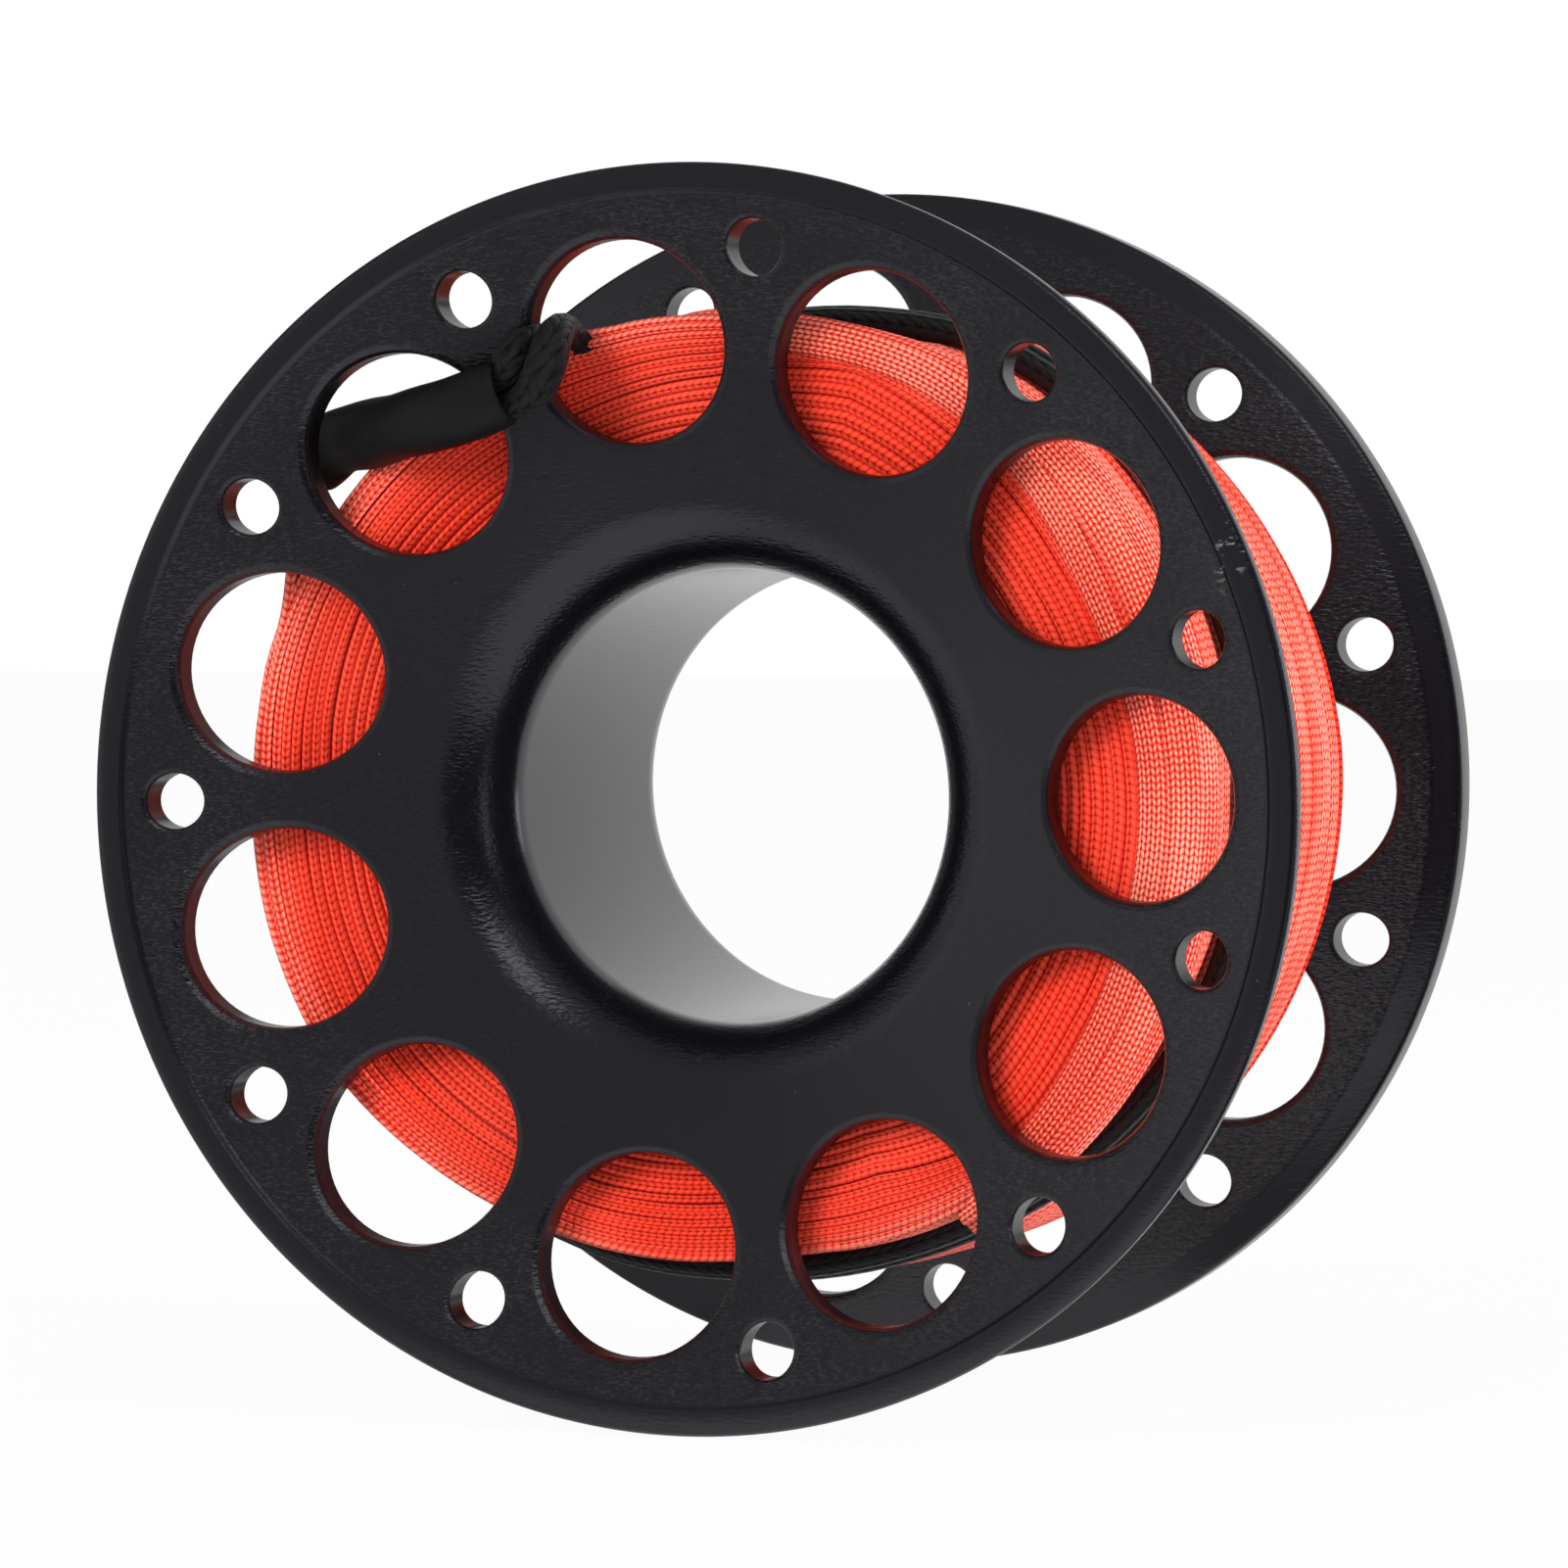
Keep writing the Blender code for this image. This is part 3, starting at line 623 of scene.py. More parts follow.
def at_angles(table, degrees, column=1):
    """Values of a table's column at angles."""
    turned = (np.asarray(degrees, float) + 180) % 360 - 180
    return np.interp(turned, table[:, 0], table[:, column])


def route_values(degrees):
    """Height, valley depth and valley half width at angles."""
    place, depth, spread = (at_angles(LEADER_ROUTE[::-1], degrees, c) for c in (1, 2, 3))
    return place * EDGE_TURN, depth * PACK_RADIUS, spread * PACK_RADIUS


def layer_radius(degrees, w):
    """Radius of the pack's surface at angles and heights."""
    middle, depth, spread = route_values(degrees)
    share = np.asarray(w) / EDGE_TURN
    behind = np.clip(0.5 - share, 0, 1)
    near_front = np.clip(share * 2 - 1, 0, 1.1) ** 2
    lean = PACK_RADIUS * LEAN_SHARE * np.sin(np.radians(degrees))
    lean = lean - at_angles(TOP_DIP, degrees) / 1000
    lean = lean + at_angles(REAR_FULLNESS, degrees) / 1000 * behind
    edge = at_angles(FRONT_EDGE, degrees) / 1000
    return (crown(w) + lean + (edge - crown(EDGE_TURN) - lean) * near_front
            - depth * np.exp(-((w - middle) / spread) ** 4))


def side_height(r):
    """Height of the pack's side, just clear of the flange's inner face."""
    return inner_face(r) - GAP / DISH_COSINE


print("outermost turn at, mm:", round(EDGE_TURN * 1000, 2))

# %% [markdown]
# Through the holes one sees the sides of the pack, where the edges of the layers lie one
# on another like rows of rope. A deep seam runs all round between the older and the newer
# layers. So each row is a ring with its own small waves, placed as a share of the way from
# the barrel to the seam, or from the seam to the outer edge.

# %% Sides of the pack
SEAM = np.array((
    (-173, 30.9), (-155, 31.0), (-142, 31.6), (-123, 31.0), (-107, 30.8), (-88, 30.0),
    (-65, 31.0), (-44, 34.3), (-31, 33.7), (-22, 33.8), (-12, 33.6), (0, 33.5), (11, 33.3),
    (22, 32.5), (33, 32.4), (43, 32.7), (56, 33.2), (70, 34.0), (90, 31.8), (110, 31.0),
    (135, 31.6), (154, 32.0), (170, 31.6), (187, 30.9)))
ROWS_INSIDE = 13
ROWS_OUTSIDE = 8
RING_STEPS = 144
ROW_OUTLINE = [(-0.5, -0.55), (-0.52, -0.12), (-0.34, 0.36), (0.0, 0.52), (0.34, 0.36),
               (0.52, -0.12), (0.5, -0.55)]
ROW_COLUMNS = [0.05, 0.1, 0.5, 1.0, 1.5, 1.9, 1.95, 1.95]
ROW_OVERLAP = 1.03
ROW_THICKNESS = 0.00075
ROW_SUNK = 0.00036
ROW_WAVE = 0.00006
ROW_PROUD_WAVE = 0.00009
ROW_STITCH = 0.00062
SEAM_HALF_GAP = 0.00004
EDGE_INSET = 0.0001
CORNER_WIDTH = 0.0016
CORNER_DROP = 0.0010
WAVE_BEATS = range(2, 7)
FRONTWARD = np.array([0.0, -1.0, 0.0])
draw = np.random.default_rng(7)


def cylinder_axes(degrees):
    """The directions outward and along the turn at each angle, as arrays."""
    angle = np.radians(degrees)
    out = np.stack([np.cos(angle), np.zeros_like(angle), np.sin(angle)], 1)
    return out, np.stack([-np.sin(angle), np.zeros_like(angle), np.cos(angle)], 1)


def laid(out, r, w):
    """Points at radii along the outward directions and at heights, as an array."""
    return out * np.asarray(r, float)[:, None] + FRONTWARD * np.asarray(w, float)[:, None]


def waves(degrees, size):
    """A smooth random wave round the turn."""
    total = np.zeros_like(degrees)
    for beat in WAVE_BEATS:
        start, strength = draw.uniform(0, math.tau), draw.uniform(0.4, 1.0)
        total += np.sin(np.radians(degrees) * beat + start) * strength
    return total * size / len(WAVE_BEATS) ** 0.5


def add_side_rows(strands, side):
    degrees = np.arange(RING_STEPS) * 360.0 / RING_STEPS - 180
    seam = at_angles(SEAM, degrees) / 1000
    edge = layer_radius(degrees, side * EDGE_TURN) - EDGE_INSET
    out, _ = cylinder_axes(degrees)
    inside = (BARREL_RADIUS + GAP, seam - SEAM_HALF_GAP, ROWS_INSIDE)
    outside = (seam + SEAM_HALF_GAP, edge, ROWS_OUTSIDE)
    rows = [(inside, k) for k in range(ROWS_INSIDE)] + [(outside, k) for k in range(ROWS_OUTSIDE)]
    for row, ((low, high, count), place) in enumerate(rows):
        pitch = (high - low) / count
        r = low + (high - low) * ((place + 0.5) / count) + waves(degrees, ROW_WAVE)
        proud = waves(degrees, ROW_PROUD_WAVE) - ROW_SUNK
        corner = np.clip((r - (edge - CORNER_WIDTH)) / CORNER_WIDTH, 0, 1) ** 2 * CORNER_DROP
        w = side * (side_height(r) + proud - corner)
        up = FRONTWARD * side * DISH_COSINE - out * DISH_SINE
        across = out * DISH_COSINE + FRONTWARD * side * DISH_SINE
        scale = np.stack([pitch * ROW_OVERLAP, np.full(RING_STEPS, ROW_THICKNESS)], 1)
        strands.sweep(laid(out, r, w), across, up, ROW_OUTLINE, scale, ROW_STITCH,
                      [2 * row + c for c in ROW_COLUMNS], draw.uniform(0, 1), ring=True)


inner_strands = Strands()
for side in (1, -1):
    add_side_rows(inner_strands, side)
print("points of the side rows:", len(inner_strands.points))

# %% [markdown]
# Behind the rows the layers are one solid mass, so a plain turned core closes the pack,
# below every row and turn. It is swept too: the route is a tiny ring on the axis, and the
# outline is the core's section.

# %% Core of the pack
CORE_RADIUS = PACK_RADIUS * 0.862
CORE_SUNK = 0.0011


def add_core(strands):
    out, _ = cylinder_axes(np.arange(RING_STEPS) * 360.0 / RING_STEPS)
    section = [(CORE_RADIUS, share * (inner_face(CORE_RADIUS) - CORE_SUNK))
               for share in (1.0, 0.6, 0.3, 0.0, -0.3, -0.6, -1.0)]
    r, w = BARREL_RADIUS + GAP, inner_face(BARREL_RADIUS) - CORE_SUNK
    section += [(r, -w), (r, w)]
    strands.sweep(out * 1e-9, out, np.broadcast_to(FRONTWARD, out.shape), section,
                  np.ones((RING_STEPS, 2)), ROW_STITCH, [0.5] * (len(section) + 1), ring=True)


add_core(inner_strands)
inner_strands.show("wound_line_sides", LINE_FINISH, "orange_line", "line_inner_layers")

# %% [markdown]
# The leader is a round black braid, doubled into a loop. It leaves a smooth shrink sleeve
# on the front, folds over the metal between two holes and lies in the valley of the pack.
# Its routes are the CAD model's, made smooth: a curve that passes through every given
# point and leaves it in the direction of its neighbours.

# %% Routes of the sleeve and the leader
SLEEVE_RADIUS = 0.0025
SLEEVE_WALL = 0.0004
STRAND = 0.0020
# Angle, radius as a share of the large holes' circle, and share of the way to the far side.
SLEEVE_STATIONS = ((114.7, 0.966, 0.00), (121.6, 0.985, 0.01), (128.6, 1.040, 0.24),
                   (133.9, 1.102, 0.56), (138.5, 1.171, 0.82), (142.6, 1.205, 1.00))
# Angle, and radius and height in mm.
CROSSING = ((112.0, 33.9, 26.3), (110.3, 34.9, 26.2), (109.2, 36.2, 24.9),
            (108.7, 37.0, 22.5), (108.6, 36.2, 19.8), (106.0, 34.4, 17.2), (99.5, 34.9, 14.8))


def polar(degrees, r, w):
    """Points at angles, radii and heights, as an array."""
    return laid(cylinder_axes(np.asarray(degrees, float))[0], r, w)


def smooth_route(points, parts):
    """A smooth curve through points, with so many parts between each two."""
    points = np.asarray(points, float)
    padded = np.vstack([points[:1], points, points[-1:]])
    t = (np.arange(parts) / parts)[:, None]
    route = []
    for before, start, end, after in zip(padded, padded[1:], padded[2:], padded[3:]):
        route.append(start * (1 - 3 * t ** 2 + 2 * t ** 3) + end * (3 * t ** 2 - 2 * t ** 3)
                     + (end - before) * (t - 2 * t ** 2 + t ** 3) / 2
                     + (after - start) * (t ** 3 - t ** 2) / 2)
    return np.vstack(route + [points[-1:]])


def unit(directions):
    return directions / np.linalg.norm(directions, axis=1)[:, None]


def framed(route, guide):
    """Directions across and up at each point of a route; up leans toward the guide."""
    heading = unit(np.gradient(route, axis=0))
    across = unit(np.cross(heading, guide))
    return across, np.cross(across, heading)


def around(count):
    """A round outline and the share of the way round at each of its points."""
    share = np.arange(count + 1) / count
    angle = share[:count] * math.tau
    return np.stack([np.cos(angle), np.sin(angle)], 1), share


def make_sleeve_route():
    stand = (SLEEVE_RADIUS + GAP) / DISH_COSINE
    top = outer_face(SLEEVE_STATIONS[0][1] * LARGE_CIRCLE) + stand
    degrees, r, share = np.array(SLEEVE_STATIONS).T
    return smooth_route(polar(degrees, r * LARGE_CIRCLE, top - share * (WEB + 2 * stand)), 10)


sleeve_route = make_sleeve_route()
print("sleeve length, mm:", round(length_along(sleeve_route)[-1] * 1000, 1))

# %% [markdown]
# The outermost layer is one flat line wound from the rear to the front. Its turns lie edge
# to edge, a little wider than the CAD model's, and each wanders and tilts a bit as wound
# line does. On the right of the spool the last turns have slipped over the corner onto the
# front side. Four flat bands show them: two lie on the side and two tilt over the corner.

# %% Outer turns
TURNS = 12
PITCH = 2 * EDGE_TURN / TURNS
TURN_OVERLAP = 1.02
TURN_THICKNESS = 0.0010
TURN_SUNK = 0.00045
TURN_WANDER = 0.00016
TURN_LIFT = 0.00008
TURN_STITCH = 0.00066
FLAT = [(-0.5, -0.2), (-0.5, 0.12), (-0.44, 0.38), (-0.25, 0.48), (0.0, 0.5), (0.25, 0.48),
        (0.44, 0.38), (0.5, 0.12), (0.5, -0.2), (0.3, -0.5), (-0.3, -0.5)]
FLAT_COLUMNS = [0.1, 0.4, 0.9, 2.3, 4.0, 5.7, 7.1, 7.6, 7.9, 7.0, 1.0, 0.1]


def sweep_flat(strands, route, across, up, width, stitch=TURN_STITCH, column=0):
    """Sweep the flat line, with its first column of stitches at a number."""
    scale = np.broadcast_to((width, TURN_THICKNESS), (len(route), 2))
    strands.sweep(route, across, up, FLAT, scale, stitch, [column + c for c in FLAT_COLUMNS])

# %% Turns
def add_turns(strands):
    """All turns of the layer as one line; returns the height at which it ends."""
    steps = TURNS * RING_STEPS
    index = np.arange(steps + 1)
    degrees = 180 - index * 360.0 / RING_STEPS
    local = draw.uniform(-1, 1, TURNS + 1)
    wander = np.interp(index / RING_STEPS, np.arange(TURNS + 1), local) * TURN_WANDER
    lift = np.interp(index / 37.0, np.arange(200), draw.uniform(-1, 1, 200)) * TURN_LIFT
    w = EDGE_TURN * (2 * index / steps - 1) + wander
    r = layer_radius(degrees, w) - TURN_SUNK + lift
    out, along = cylinder_axes(degrees)
    slope = (layer_radius(degrees, w + 0.0008) - layer_radius(degrees, w - 0.0008)) / 0.0016
    across = unit(FRONTWARD + out * slope[:, None])
    up = np.cross(across, along)
    up *= np.sign(np.sum(up * out, axis=1))[:, None]
    sweep_flat(strands, laid(out, r, w), across, up, PITCH * TURN_OVERLAP)
    return w[-1]

# %% Bands at the front
BAND_STITCH = 0.00056
BAND_WAVE = 0.00004
BAND_END_DEGREES = 10.0
BAND_END_SUNK = 0.0016
# Angles with radii in mm, then depth below the side in mm, tilt in degrees, width in mm.
BANDS = (
    (((88, 34.6), (76, 34.9), (66, 35.2), (56, 34.7), (44, 34.2), (33, 33.8), (22, 33.6),
      (8, 34.4)), 0.62, 0, 2.6),
    (((88, 35.0), (76, 35.4), (66, 36.0), (56, 36.1), (44, 35.3), (33, 34.4), (24, 34.0),
      (11, 34.8), (-12, 34.9), (-31, 35.1), (-44, 36.0), (-58, 36.2)), 0.30, 4, 2.6),
    (((88, 35.4), (76, 35.9), (66, 36.4), (56, 37.0), (40, 37.2), (24, 36.9), (0, 37.1),
      (-31, 37.2), (-44, 37.4), (-58, 37.0)), 1.10, 42, 2.6),
    (((86, 35.8), (76, 36.0), (67, 36.6), (58, 37.4), (40, 38.2), (24, 38.2), (0, 38.1),
      (-31, 38.0), (-58, 37.4)), 3.2, 74, 2.7))


def add_band(strands, table, drop, tilt, width):
    """A flat band on the front side, sunk under the rows at both ends."""
    table = np.array(table)
    first, last = table[0, 0], table[-1, 0]
    degrees = np.arange(first, last - 1, -2.0)
    r = np.interp(-degrees, -table[:, 0], table[:, 1]) / 1000
    r = np.convolve(np.pad(r, 4, mode="edge"), np.ones(9) / 9, mode="valid")
    ends = np.minimum(first - degrees, degrees - last)
    sink = np.clip(1 - ends / BAND_END_DEGREES, 0, 1) ** 2 * BAND_END_SUNK
    out, _ = cylinder_axes(degrees)
    lean = math.radians(tilt) - math.atan(DISH_SLOPE)
    w = side_height(r) - drop / 1000 - sink + waves(degrees, BAND_WAVE)
    up = FRONTWARD * math.cos(lean) + out * math.sin(lean)
    across = out * math.cos(lean) - FRONTWARD * math.sin(lean)
    sweep_flat(strands, laid(out, r, w), across, up, width / 1000, BAND_STITCH, BAND_COLUMN)

# %% End of the line
def points_from_start(route, distances):
    """The points of a route at these distances from its start."""
    return route[np.searchsorted(length_along(route), distances)]


def add_line_end(strands, w):
    """The end of the line: from the last turn up over the edge into the sleeve."""
    mouth = sleeve_route[-1]
    inside = points_from_start(sleeve_route[::-1], (0.0024, 0.0048))
    share = np.array([0.0, 0.0, 0.0, 0.06, 0.28, 0.64])
    start = layer_radius(180, w) - TURN_SUNK
    r = start + (math.hypot(mouth[0], mouth[2]) - start) * share
    height = w + (-mouth[1] - w) * share ** 2
    climb = polar([180, 172, 164, 158, 153, 148], r, height)
    route = smooth_route(np.vstack([climb, mouth, inside]), 8)
    across, up = framed(route, route * (1, 0, 1))
    sweep_flat(strands, route, across, up, LINE_WIDTH)


outer_strands = Strands()
add_line_end(outer_strands, add_turns(outer_strands))
for band in BANDS:
    add_band(outer_strands, *band)
outer_strands.show("wound_line_outer_turns", LINE_FINISH, "orange_line", "line_outer_layer")

# %% [markdown]
# The sleeve is a tube with a real wall: its outline runs along the outside and back along
# the inside, so the mouth shows its edge. Shrinking has drawn it a little tighter in some
# places and has left faint ridges, which are small waves of its width.

# %% Shrink sleeve
SLEEVE_BLACK = (0.0042, 0.0040, 0.0040, 1)
SLEEVE_DUST = (0.025, 0.025, 0.025, 1)
SLEEVE_FLATNESS = 0.04
SLEEVE_LIP = 0.93


def make_sleeve_finish():
    finish = Finish(bpy.data.materials.new("black shrink tube"))
    place = finish.add("ShaderNodeTexCoord", out=3)
    grain = finish.noise(place, 2600.0, 3.0)
    soft = finish.noise(place, 420.0)
    dust = finish.noise(place, 5200.0, 1.0).ramp(0.70, 0.78)
    return finish.surface(
        Base_Color=finish.mix(dust * 0.5, SLEEVE_BLACK, SLEEVE_DUST),
        Roughness=0.50 + grain * 0.12, Specular_IOR_Level=0.22,
        Normal=finish.bump(grain * 0.000006 + soft * 0.00006))


def make_sleeve():
    strands = Strands()
    circle, share = around(28)
    across, up = framed(sleeve_route, np.broadcast_to(FRONTWARD, sleeve_route.shape))
    count = len(sleeve_route)
    t = np.linspace(0, 1, count)
    swell = 1 - 0.05 * np.cos(t * math.pi * 5) * np.exp(-t * 2) + 0.02 * np.sin(t * 23)
    outside = np.outer(swell, (1 + SLEEVE_FLATNESS, 1 - SLEEVE_FLATNESS)) * SLEEVE_RADIUS
    outside[[0, -1]] *= SLEEVE_LIP
    inside = np.full((count, 2), SLEEVE_RADIUS - SLEEVE_WALL)
    there_and_back = [np.vstack([part, part[::-1]]) for part in (sleeve_route, across, up)]
    strands.sweep(*there_and_back, circle, np.vstack([outside, inside]), 0.001, share, ring=True)
    strands.show("shrink_sleeve", make_sleeve_finish(), "shrink_tube", "leader_sleeve")


make_sleeve()

# %% [markdown]
# Each strand of the leader rests on the turns under it: its centre is half its own
# thickness above the highest of them. Where it crosses the metal the braid is loose and
# puffed, so it is made thicker there. Both strands and the open loop at the far end are
# one cord.

# %% Way of the leader
LEADER_CLEAR = 0.0002
STRANDS_APART = 0.0011
LOOP_REACH = 2.6
LOOP_PUFF = 0.9
# From inside the sleeve to the pack: size of the braid, space between the two strands in
# mm, and how far their common guide has turned from the front to the outside.
CROSSING_SIZE = np.array([0.75, 0.75, 1.05, 1.5, 1.6, 1.45, 1.15, 1.0, 1.0, 1.0])
CROSSING_SPACE = np.array([0.4, 0.4, 0.1, -0.3, -0.2, -0.1, 0.0, 0.2, 0.5, 0.8])
CROSSING_GUIDE = np.array([0, 0, 0, 0.1, 0.3, 0.6, 0.9, 1, 1, 1])[:, None]


def resting_radius(degrees, w):
    """Radius at which a strand's centre rests on the pack."""
    reach = STRAND * 0.6
    levels = [layer_radius(degrees, w + reach * side) for side in (-1, 0, 1)]
    return np.max(levels, axis=0) + STRAND / 2 + LEADER_CLEAR


def crossing_points():
    """Middle of the doubled leader from inside the sleeve to the pack, with its guides."""
    inside = points_from_start(sleeve_route, (0.006, 0.003))
    given = np.array(CROSSING) * (1, 0.001, 0.001)
    points = np.vstack([inside, sleeve_route[:1], polar(*given.T)])
    out = unit(points * (1, 0, 1))
    return points, FRONTWARD * (1 - CROSSING_GUIDE) + out * CROSSING_GUIDE


def loop_end(first, last):
    """The bend that joins the ends of two strands, laid on the pack."""
    heading = first[-1] - first[-2]
    heading /= np.linalg.norm(heading)
    middle, spread = (first[-1] + last[-1]) / 2, (last[-1] - first[-1]) / 2
    turn = np.radians(np.arange(22.5, 180, 22.5))[:, None]
    bend = (middle - spread * np.cos(turn) * (1 + LOOP_PUFF * np.sin(turn))
            + heading * np.linalg.norm(spread) * LOOP_REACH * np.sin(turn))
    degrees = np.degrees(np.arctan2(bend[:, 2], bend[:, 0]))
    return polar(degrees, resting_radius(degrees, -bend[:, 1]), -bend[:, 1])


def leader_points():
    """The cord's points out along one strand and back along the other, with its sizes."""
    points, guides = crossing_points()
    aside = unit(np.cross(guides, np.gradient(points, axis=0)))
    apart = STRAND * CROSSING_SIZE + CROSSING_SPACE / 1000
    angles = np.arange(90, -136, -15.0)
    strand = {}
    for side in (1, -1):
        crossing = points + aside * (side * apart / 2)[:, None]
        height = route_values(angles)[0] - side * (STRAND + STRANDS_APART) / 2
        resting = polar(angles, resting_radius(angles, height), height)
        strand[side] = np.vstack([crossing, resting])
    bend = loop_end(strand[1], strand[-1])
    sizes = np.concatenate([CROSSING_SIZE, np.ones(len(angles))])
    return (np.vstack([strand[1], bend, strand[-1][::-1]]),
            np.concatenate([sizes, np.ones(len(bend)), sizes[::-1]]))

# %% Leader
# Painted shade: the grooves between the cord's stitches are darker than its yarn.
LEADER_GROOVE_SHADE = (0.0004, 0.0004, 0.0005, 1)
LEADER_YARN = (0.0070, 0.0070, 0.0074, 1)
LEADER_RELIEF = 0.00030
LEADER_STITCH = 0.0012
LEADER_COLUMNS = 8


def make_leader_finish():
    finish = Finish(bpy.data.materials.new("black braided cord"))
    height, _ = braid_height(finish, 1.1)
    return finish.surface(
        # The stitch height mixes the painted groove shade with the yarn's black.
        Base_Color=finish.mix(height.ramp(0.2, 0.95), LEADER_GROOVE_SHADE, LEADER_YARN),
        Roughness=0.5, Specular_IOR_Level=0.18, Sheen_Weight=0.02,
        Normal=finish.bump(height * LEADER_RELIEF))


def make_leader():
    strands = Strands()
    circle, share = around(12)
    points, sizes = leader_points()
    route = smooth_route(points, 5)
    spots = np.linspace(0, len(points) - 1, len(route))
    radius = STRAND / 2 * np.interp(spots, np.arange(len(points)), sizes)
    across, up = framed(route, route * (1, 0, 1))
    strands.sweep(route, across, up, circle, np.stack([radius, radius], 1), LEADER_STITCH,
                  share * LEADER_COLUMNS)
    strands.show("braided_leader", make_leader_finish(), "black_cord", "leader_cord")


make_leader()

# %% [markdown]
# White surroundings light a product evenly. The world is plain white where the camera
# sees it. What the metal mirrors depends on the heading: pale behind the object, grey in
# front and at the left, dark in between, which gives black metal its form. To these come
# one narrow bright strip at the right, a patch high at the front right and a faint glow
# from above. The floor answers a mirrored ray in the same way, with two pale patches near
# the object, and to the camera it is nearly white with a soft shadow. Emission sampling is
# off, because Cycles would otherwise light the object by what is meant for mirrored rays.

# %% World and floor
PALE_BEHIND = 0.88
GREY_FRONT_RIGHT = 0.36
GREY_FRONT_LEFT = 0.42
GREY_LEFT = 0.55
GLOW_ABOVE = 0.3
OTHER_RAYS = 0.40
FLOOR_WHITE = 0.95
FLOOR_LEVEL = -FLANGE_RADIUS - 0.0001
FLOOR_CORNERS = [(x, y, FLOOR_LEVEL) for x, y in ((-3, -3), (3, -3), (3, 3), (-3, 3))]
# Middle of each pale patch on the floor, its inner and outer radius, and its strength.
FLOOR_PATCHES = (((0.025, -0.085, -FLANGE_RADIUS), 0.058, 0.088, 1.0),
                 ((-0.02, -0.03, -FLANGE_RADIUS), 0.04, 0.10, 0.5))


def ray_kinds(finish):
    """Wires that are 1 for rays of the camera and for mirrored rays."""
    outputs = finish.add("ShaderNodeLightPath").socket.node.outputs
    camera_ray, glossy, through = (Wire(finish, outputs[name]) for name in (
        "Is Camera Ray", "Is Glossy Ray", "Is Transmission Ray"))
    return camera_ray.math("MAXIMUM", through), glossy


def studio(x, y):
    """How bright the mirrored walls and the strip are toward a heading; y is to the back."""
    behind = (y + x.ramp(0.0, 0.4) * 0.4).ramp(0.70, 0.88, 0.0, PALE_BEHIND)
    strip = x.ramp(0.88, 0.94) * y.ramp(-0.33, -0.27) * y.ramp(-0.14, -0.08, 1.0, 0.0)
    front = (x.ramp(0.20, 0.48, GREY_FRONT_RIGHT, 0.0)
             + x.ramp(-0.80, -0.35, GREY_FRONT_LEFT, 0.0))
    front = front * y.ramp(-0.55, -0.20, 1.0, 0.0)
    left = x.ramp(-0.95, -0.75, GREY_LEFT, 0.0)
    return behind.math("MAXIMUM", front).math("MAXIMUM", left), strip


def make_floor():
    finish = Finish(bpy.data.materials.new("pale floor"))
    seen, glossy = ray_kinds(finish)
    place = finish.add("ShaderNodeTexCoord", out=3)
    x, y, _ = finish.split(finish.vector("NORMALIZE", finish.vector("MULTIPLY", place, (1, 1, 0))))
    near, under = (
        finish.vector("DISTANCE", place, middle, out=1).ramp(inner, outer, strength, 0.0)
        for middle, inner, outer, strength in FLOOR_PATCHES)
    away = finish.vector("LENGTH", place, out=1).ramp(0.09, 0.13)
    walls, strip = studio(x, y)
    mirrored = near.math("MAXIMUM", under).math("MAXIMUM", walls).math("MAXIMUM", strip * away)
    glow = finish.add("ShaderNodeEmission", None, {
        "Color": (1, 1, 1, 1), "Strength": seen + glossy * mirrored})
    blend = finish.add("ShaderNodeMixShader", None, {
        0: seen * FLOOR_WHITE + glossy, 1: Wire(finish, finish.shader.outputs[0]), 2: glow})
    finish.put(finish.tree.nodes["Material Output"].inputs[0], blend)
    finish.surface(Base_Color=(0.92, 0.92, 0.92, 1), Roughness=0.9)
    finish.owner.cycles.emission_sampling = "NONE"
    mesh = new_mesh("floor", FLOOR_CORNERS, [(0, 1, 2, 3)])
    mesh.materials.append(finish.owner)
    floor = bpy.data.objects.new("floor", mesh)
    link(floor)


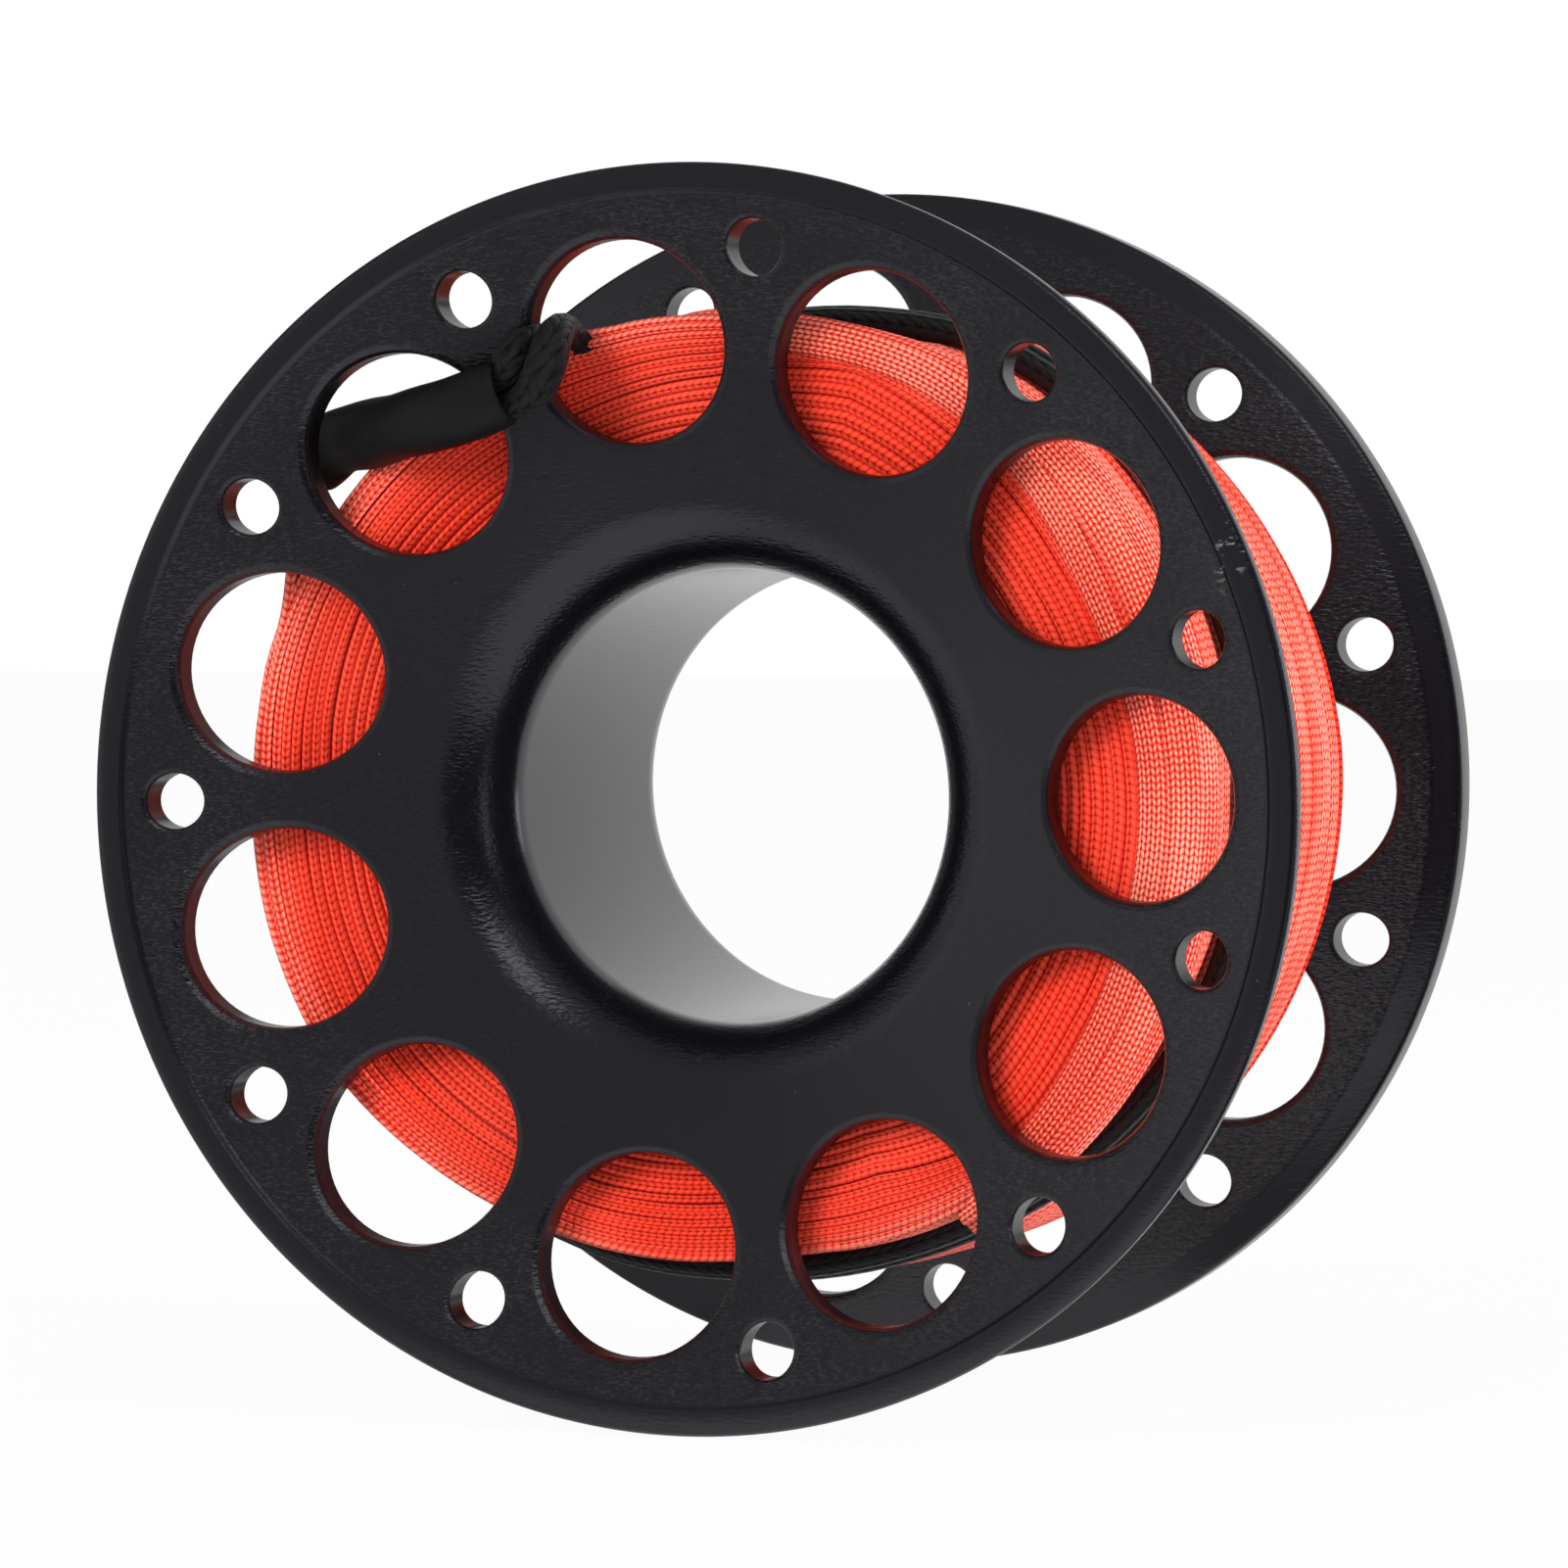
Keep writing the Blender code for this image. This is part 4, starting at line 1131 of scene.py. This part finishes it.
def make_world():
    finish = Finish(bpy.data.worlds.new("white surroundings"))
    bpy.context.scene.world = finish.owner
    x, y, z = finish.split(finish.add("ShaderNodeTexCoord"))
    walls, strip = studio(x, y)
    high = z.ramp(0.44, 0.56) * x.ramp(0.20, 0.36) * y.ramp(-0.45, -0.30, 1.0, 0.0)
    low = z.ramp(0.35, 0.45, 1.0, 0.0)
    mirrored = walls.math("MAXIMUM", high).math("MAXIMUM", strip * low)
    mirrored = mirrored.math("MAXIMUM", z.ramp(0.45, 0.75, 0.0, GLOW_ABOVE))
    finish.owner.cycles.sampling_method = "NONE"
    seen, glossy = ray_kinds(finish)
    rest = 1 - seen.math("MAXIMUM", glossy)
    background = finish.tree.nodes["Background"]
    background.inputs["Color"].default_value = (1, 1, 1, 1)
    finish.put(background.inputs["Strength"], seen + glossy * mirrored + rest * OTHER_RAYS)
    print(finish.owner.name, "nodes:", len(finish.tree.nodes))


make_floor()
make_world()

# %% [markdown]
# Four lamps finish the light. A wide one stands beside the camera and reaches the line
# through the holes. A tall narrow one at the right lights the line in the open gap. Two
# weak ones are there to be mirrored: the one high at the front right in the lower left of
# the flare, and the one at the back right along the rounded edge of the front rim.

# %% Lamps
def make_lamp(name, place, width, height, power, colour=(1, 1, 1), mirrored=True):
    data = bpy.data.lights.new(name, "AREA")
    data.shape, data.size, data.size_y = "RECTANGLE", width, height
    data.energy, data.color = power, colour
    lamp = bpy.data.objects.new(name, data)
    lamp.location = place
    lamp.rotation_euler = (-Vector(place)).to_track_quat("-Z", "Y").to_euler()
    lamp.visible_glossy = mirrored
    print(name, "lamp, W:", power)
    link(lamp)


make_lamp("key", (-0.55, -1.12, 0.52), 0.6, 0.6, 13.5, mirrored=False)
make_lamp("front right", (0.50, -0.84, 0.70), 0.38, 0.38, 1.1)
make_lamp("back right", (1.00, 0.72, 0.03), 0.50, 0.50, 2.2, (0.86, 0.89, 1.0))
make_lamp("right strip", (1.15, -0.27, 0.15), 0.16, 0.7, 22.0, (0.94, 0.94, 1.0),
          mirrored=False)
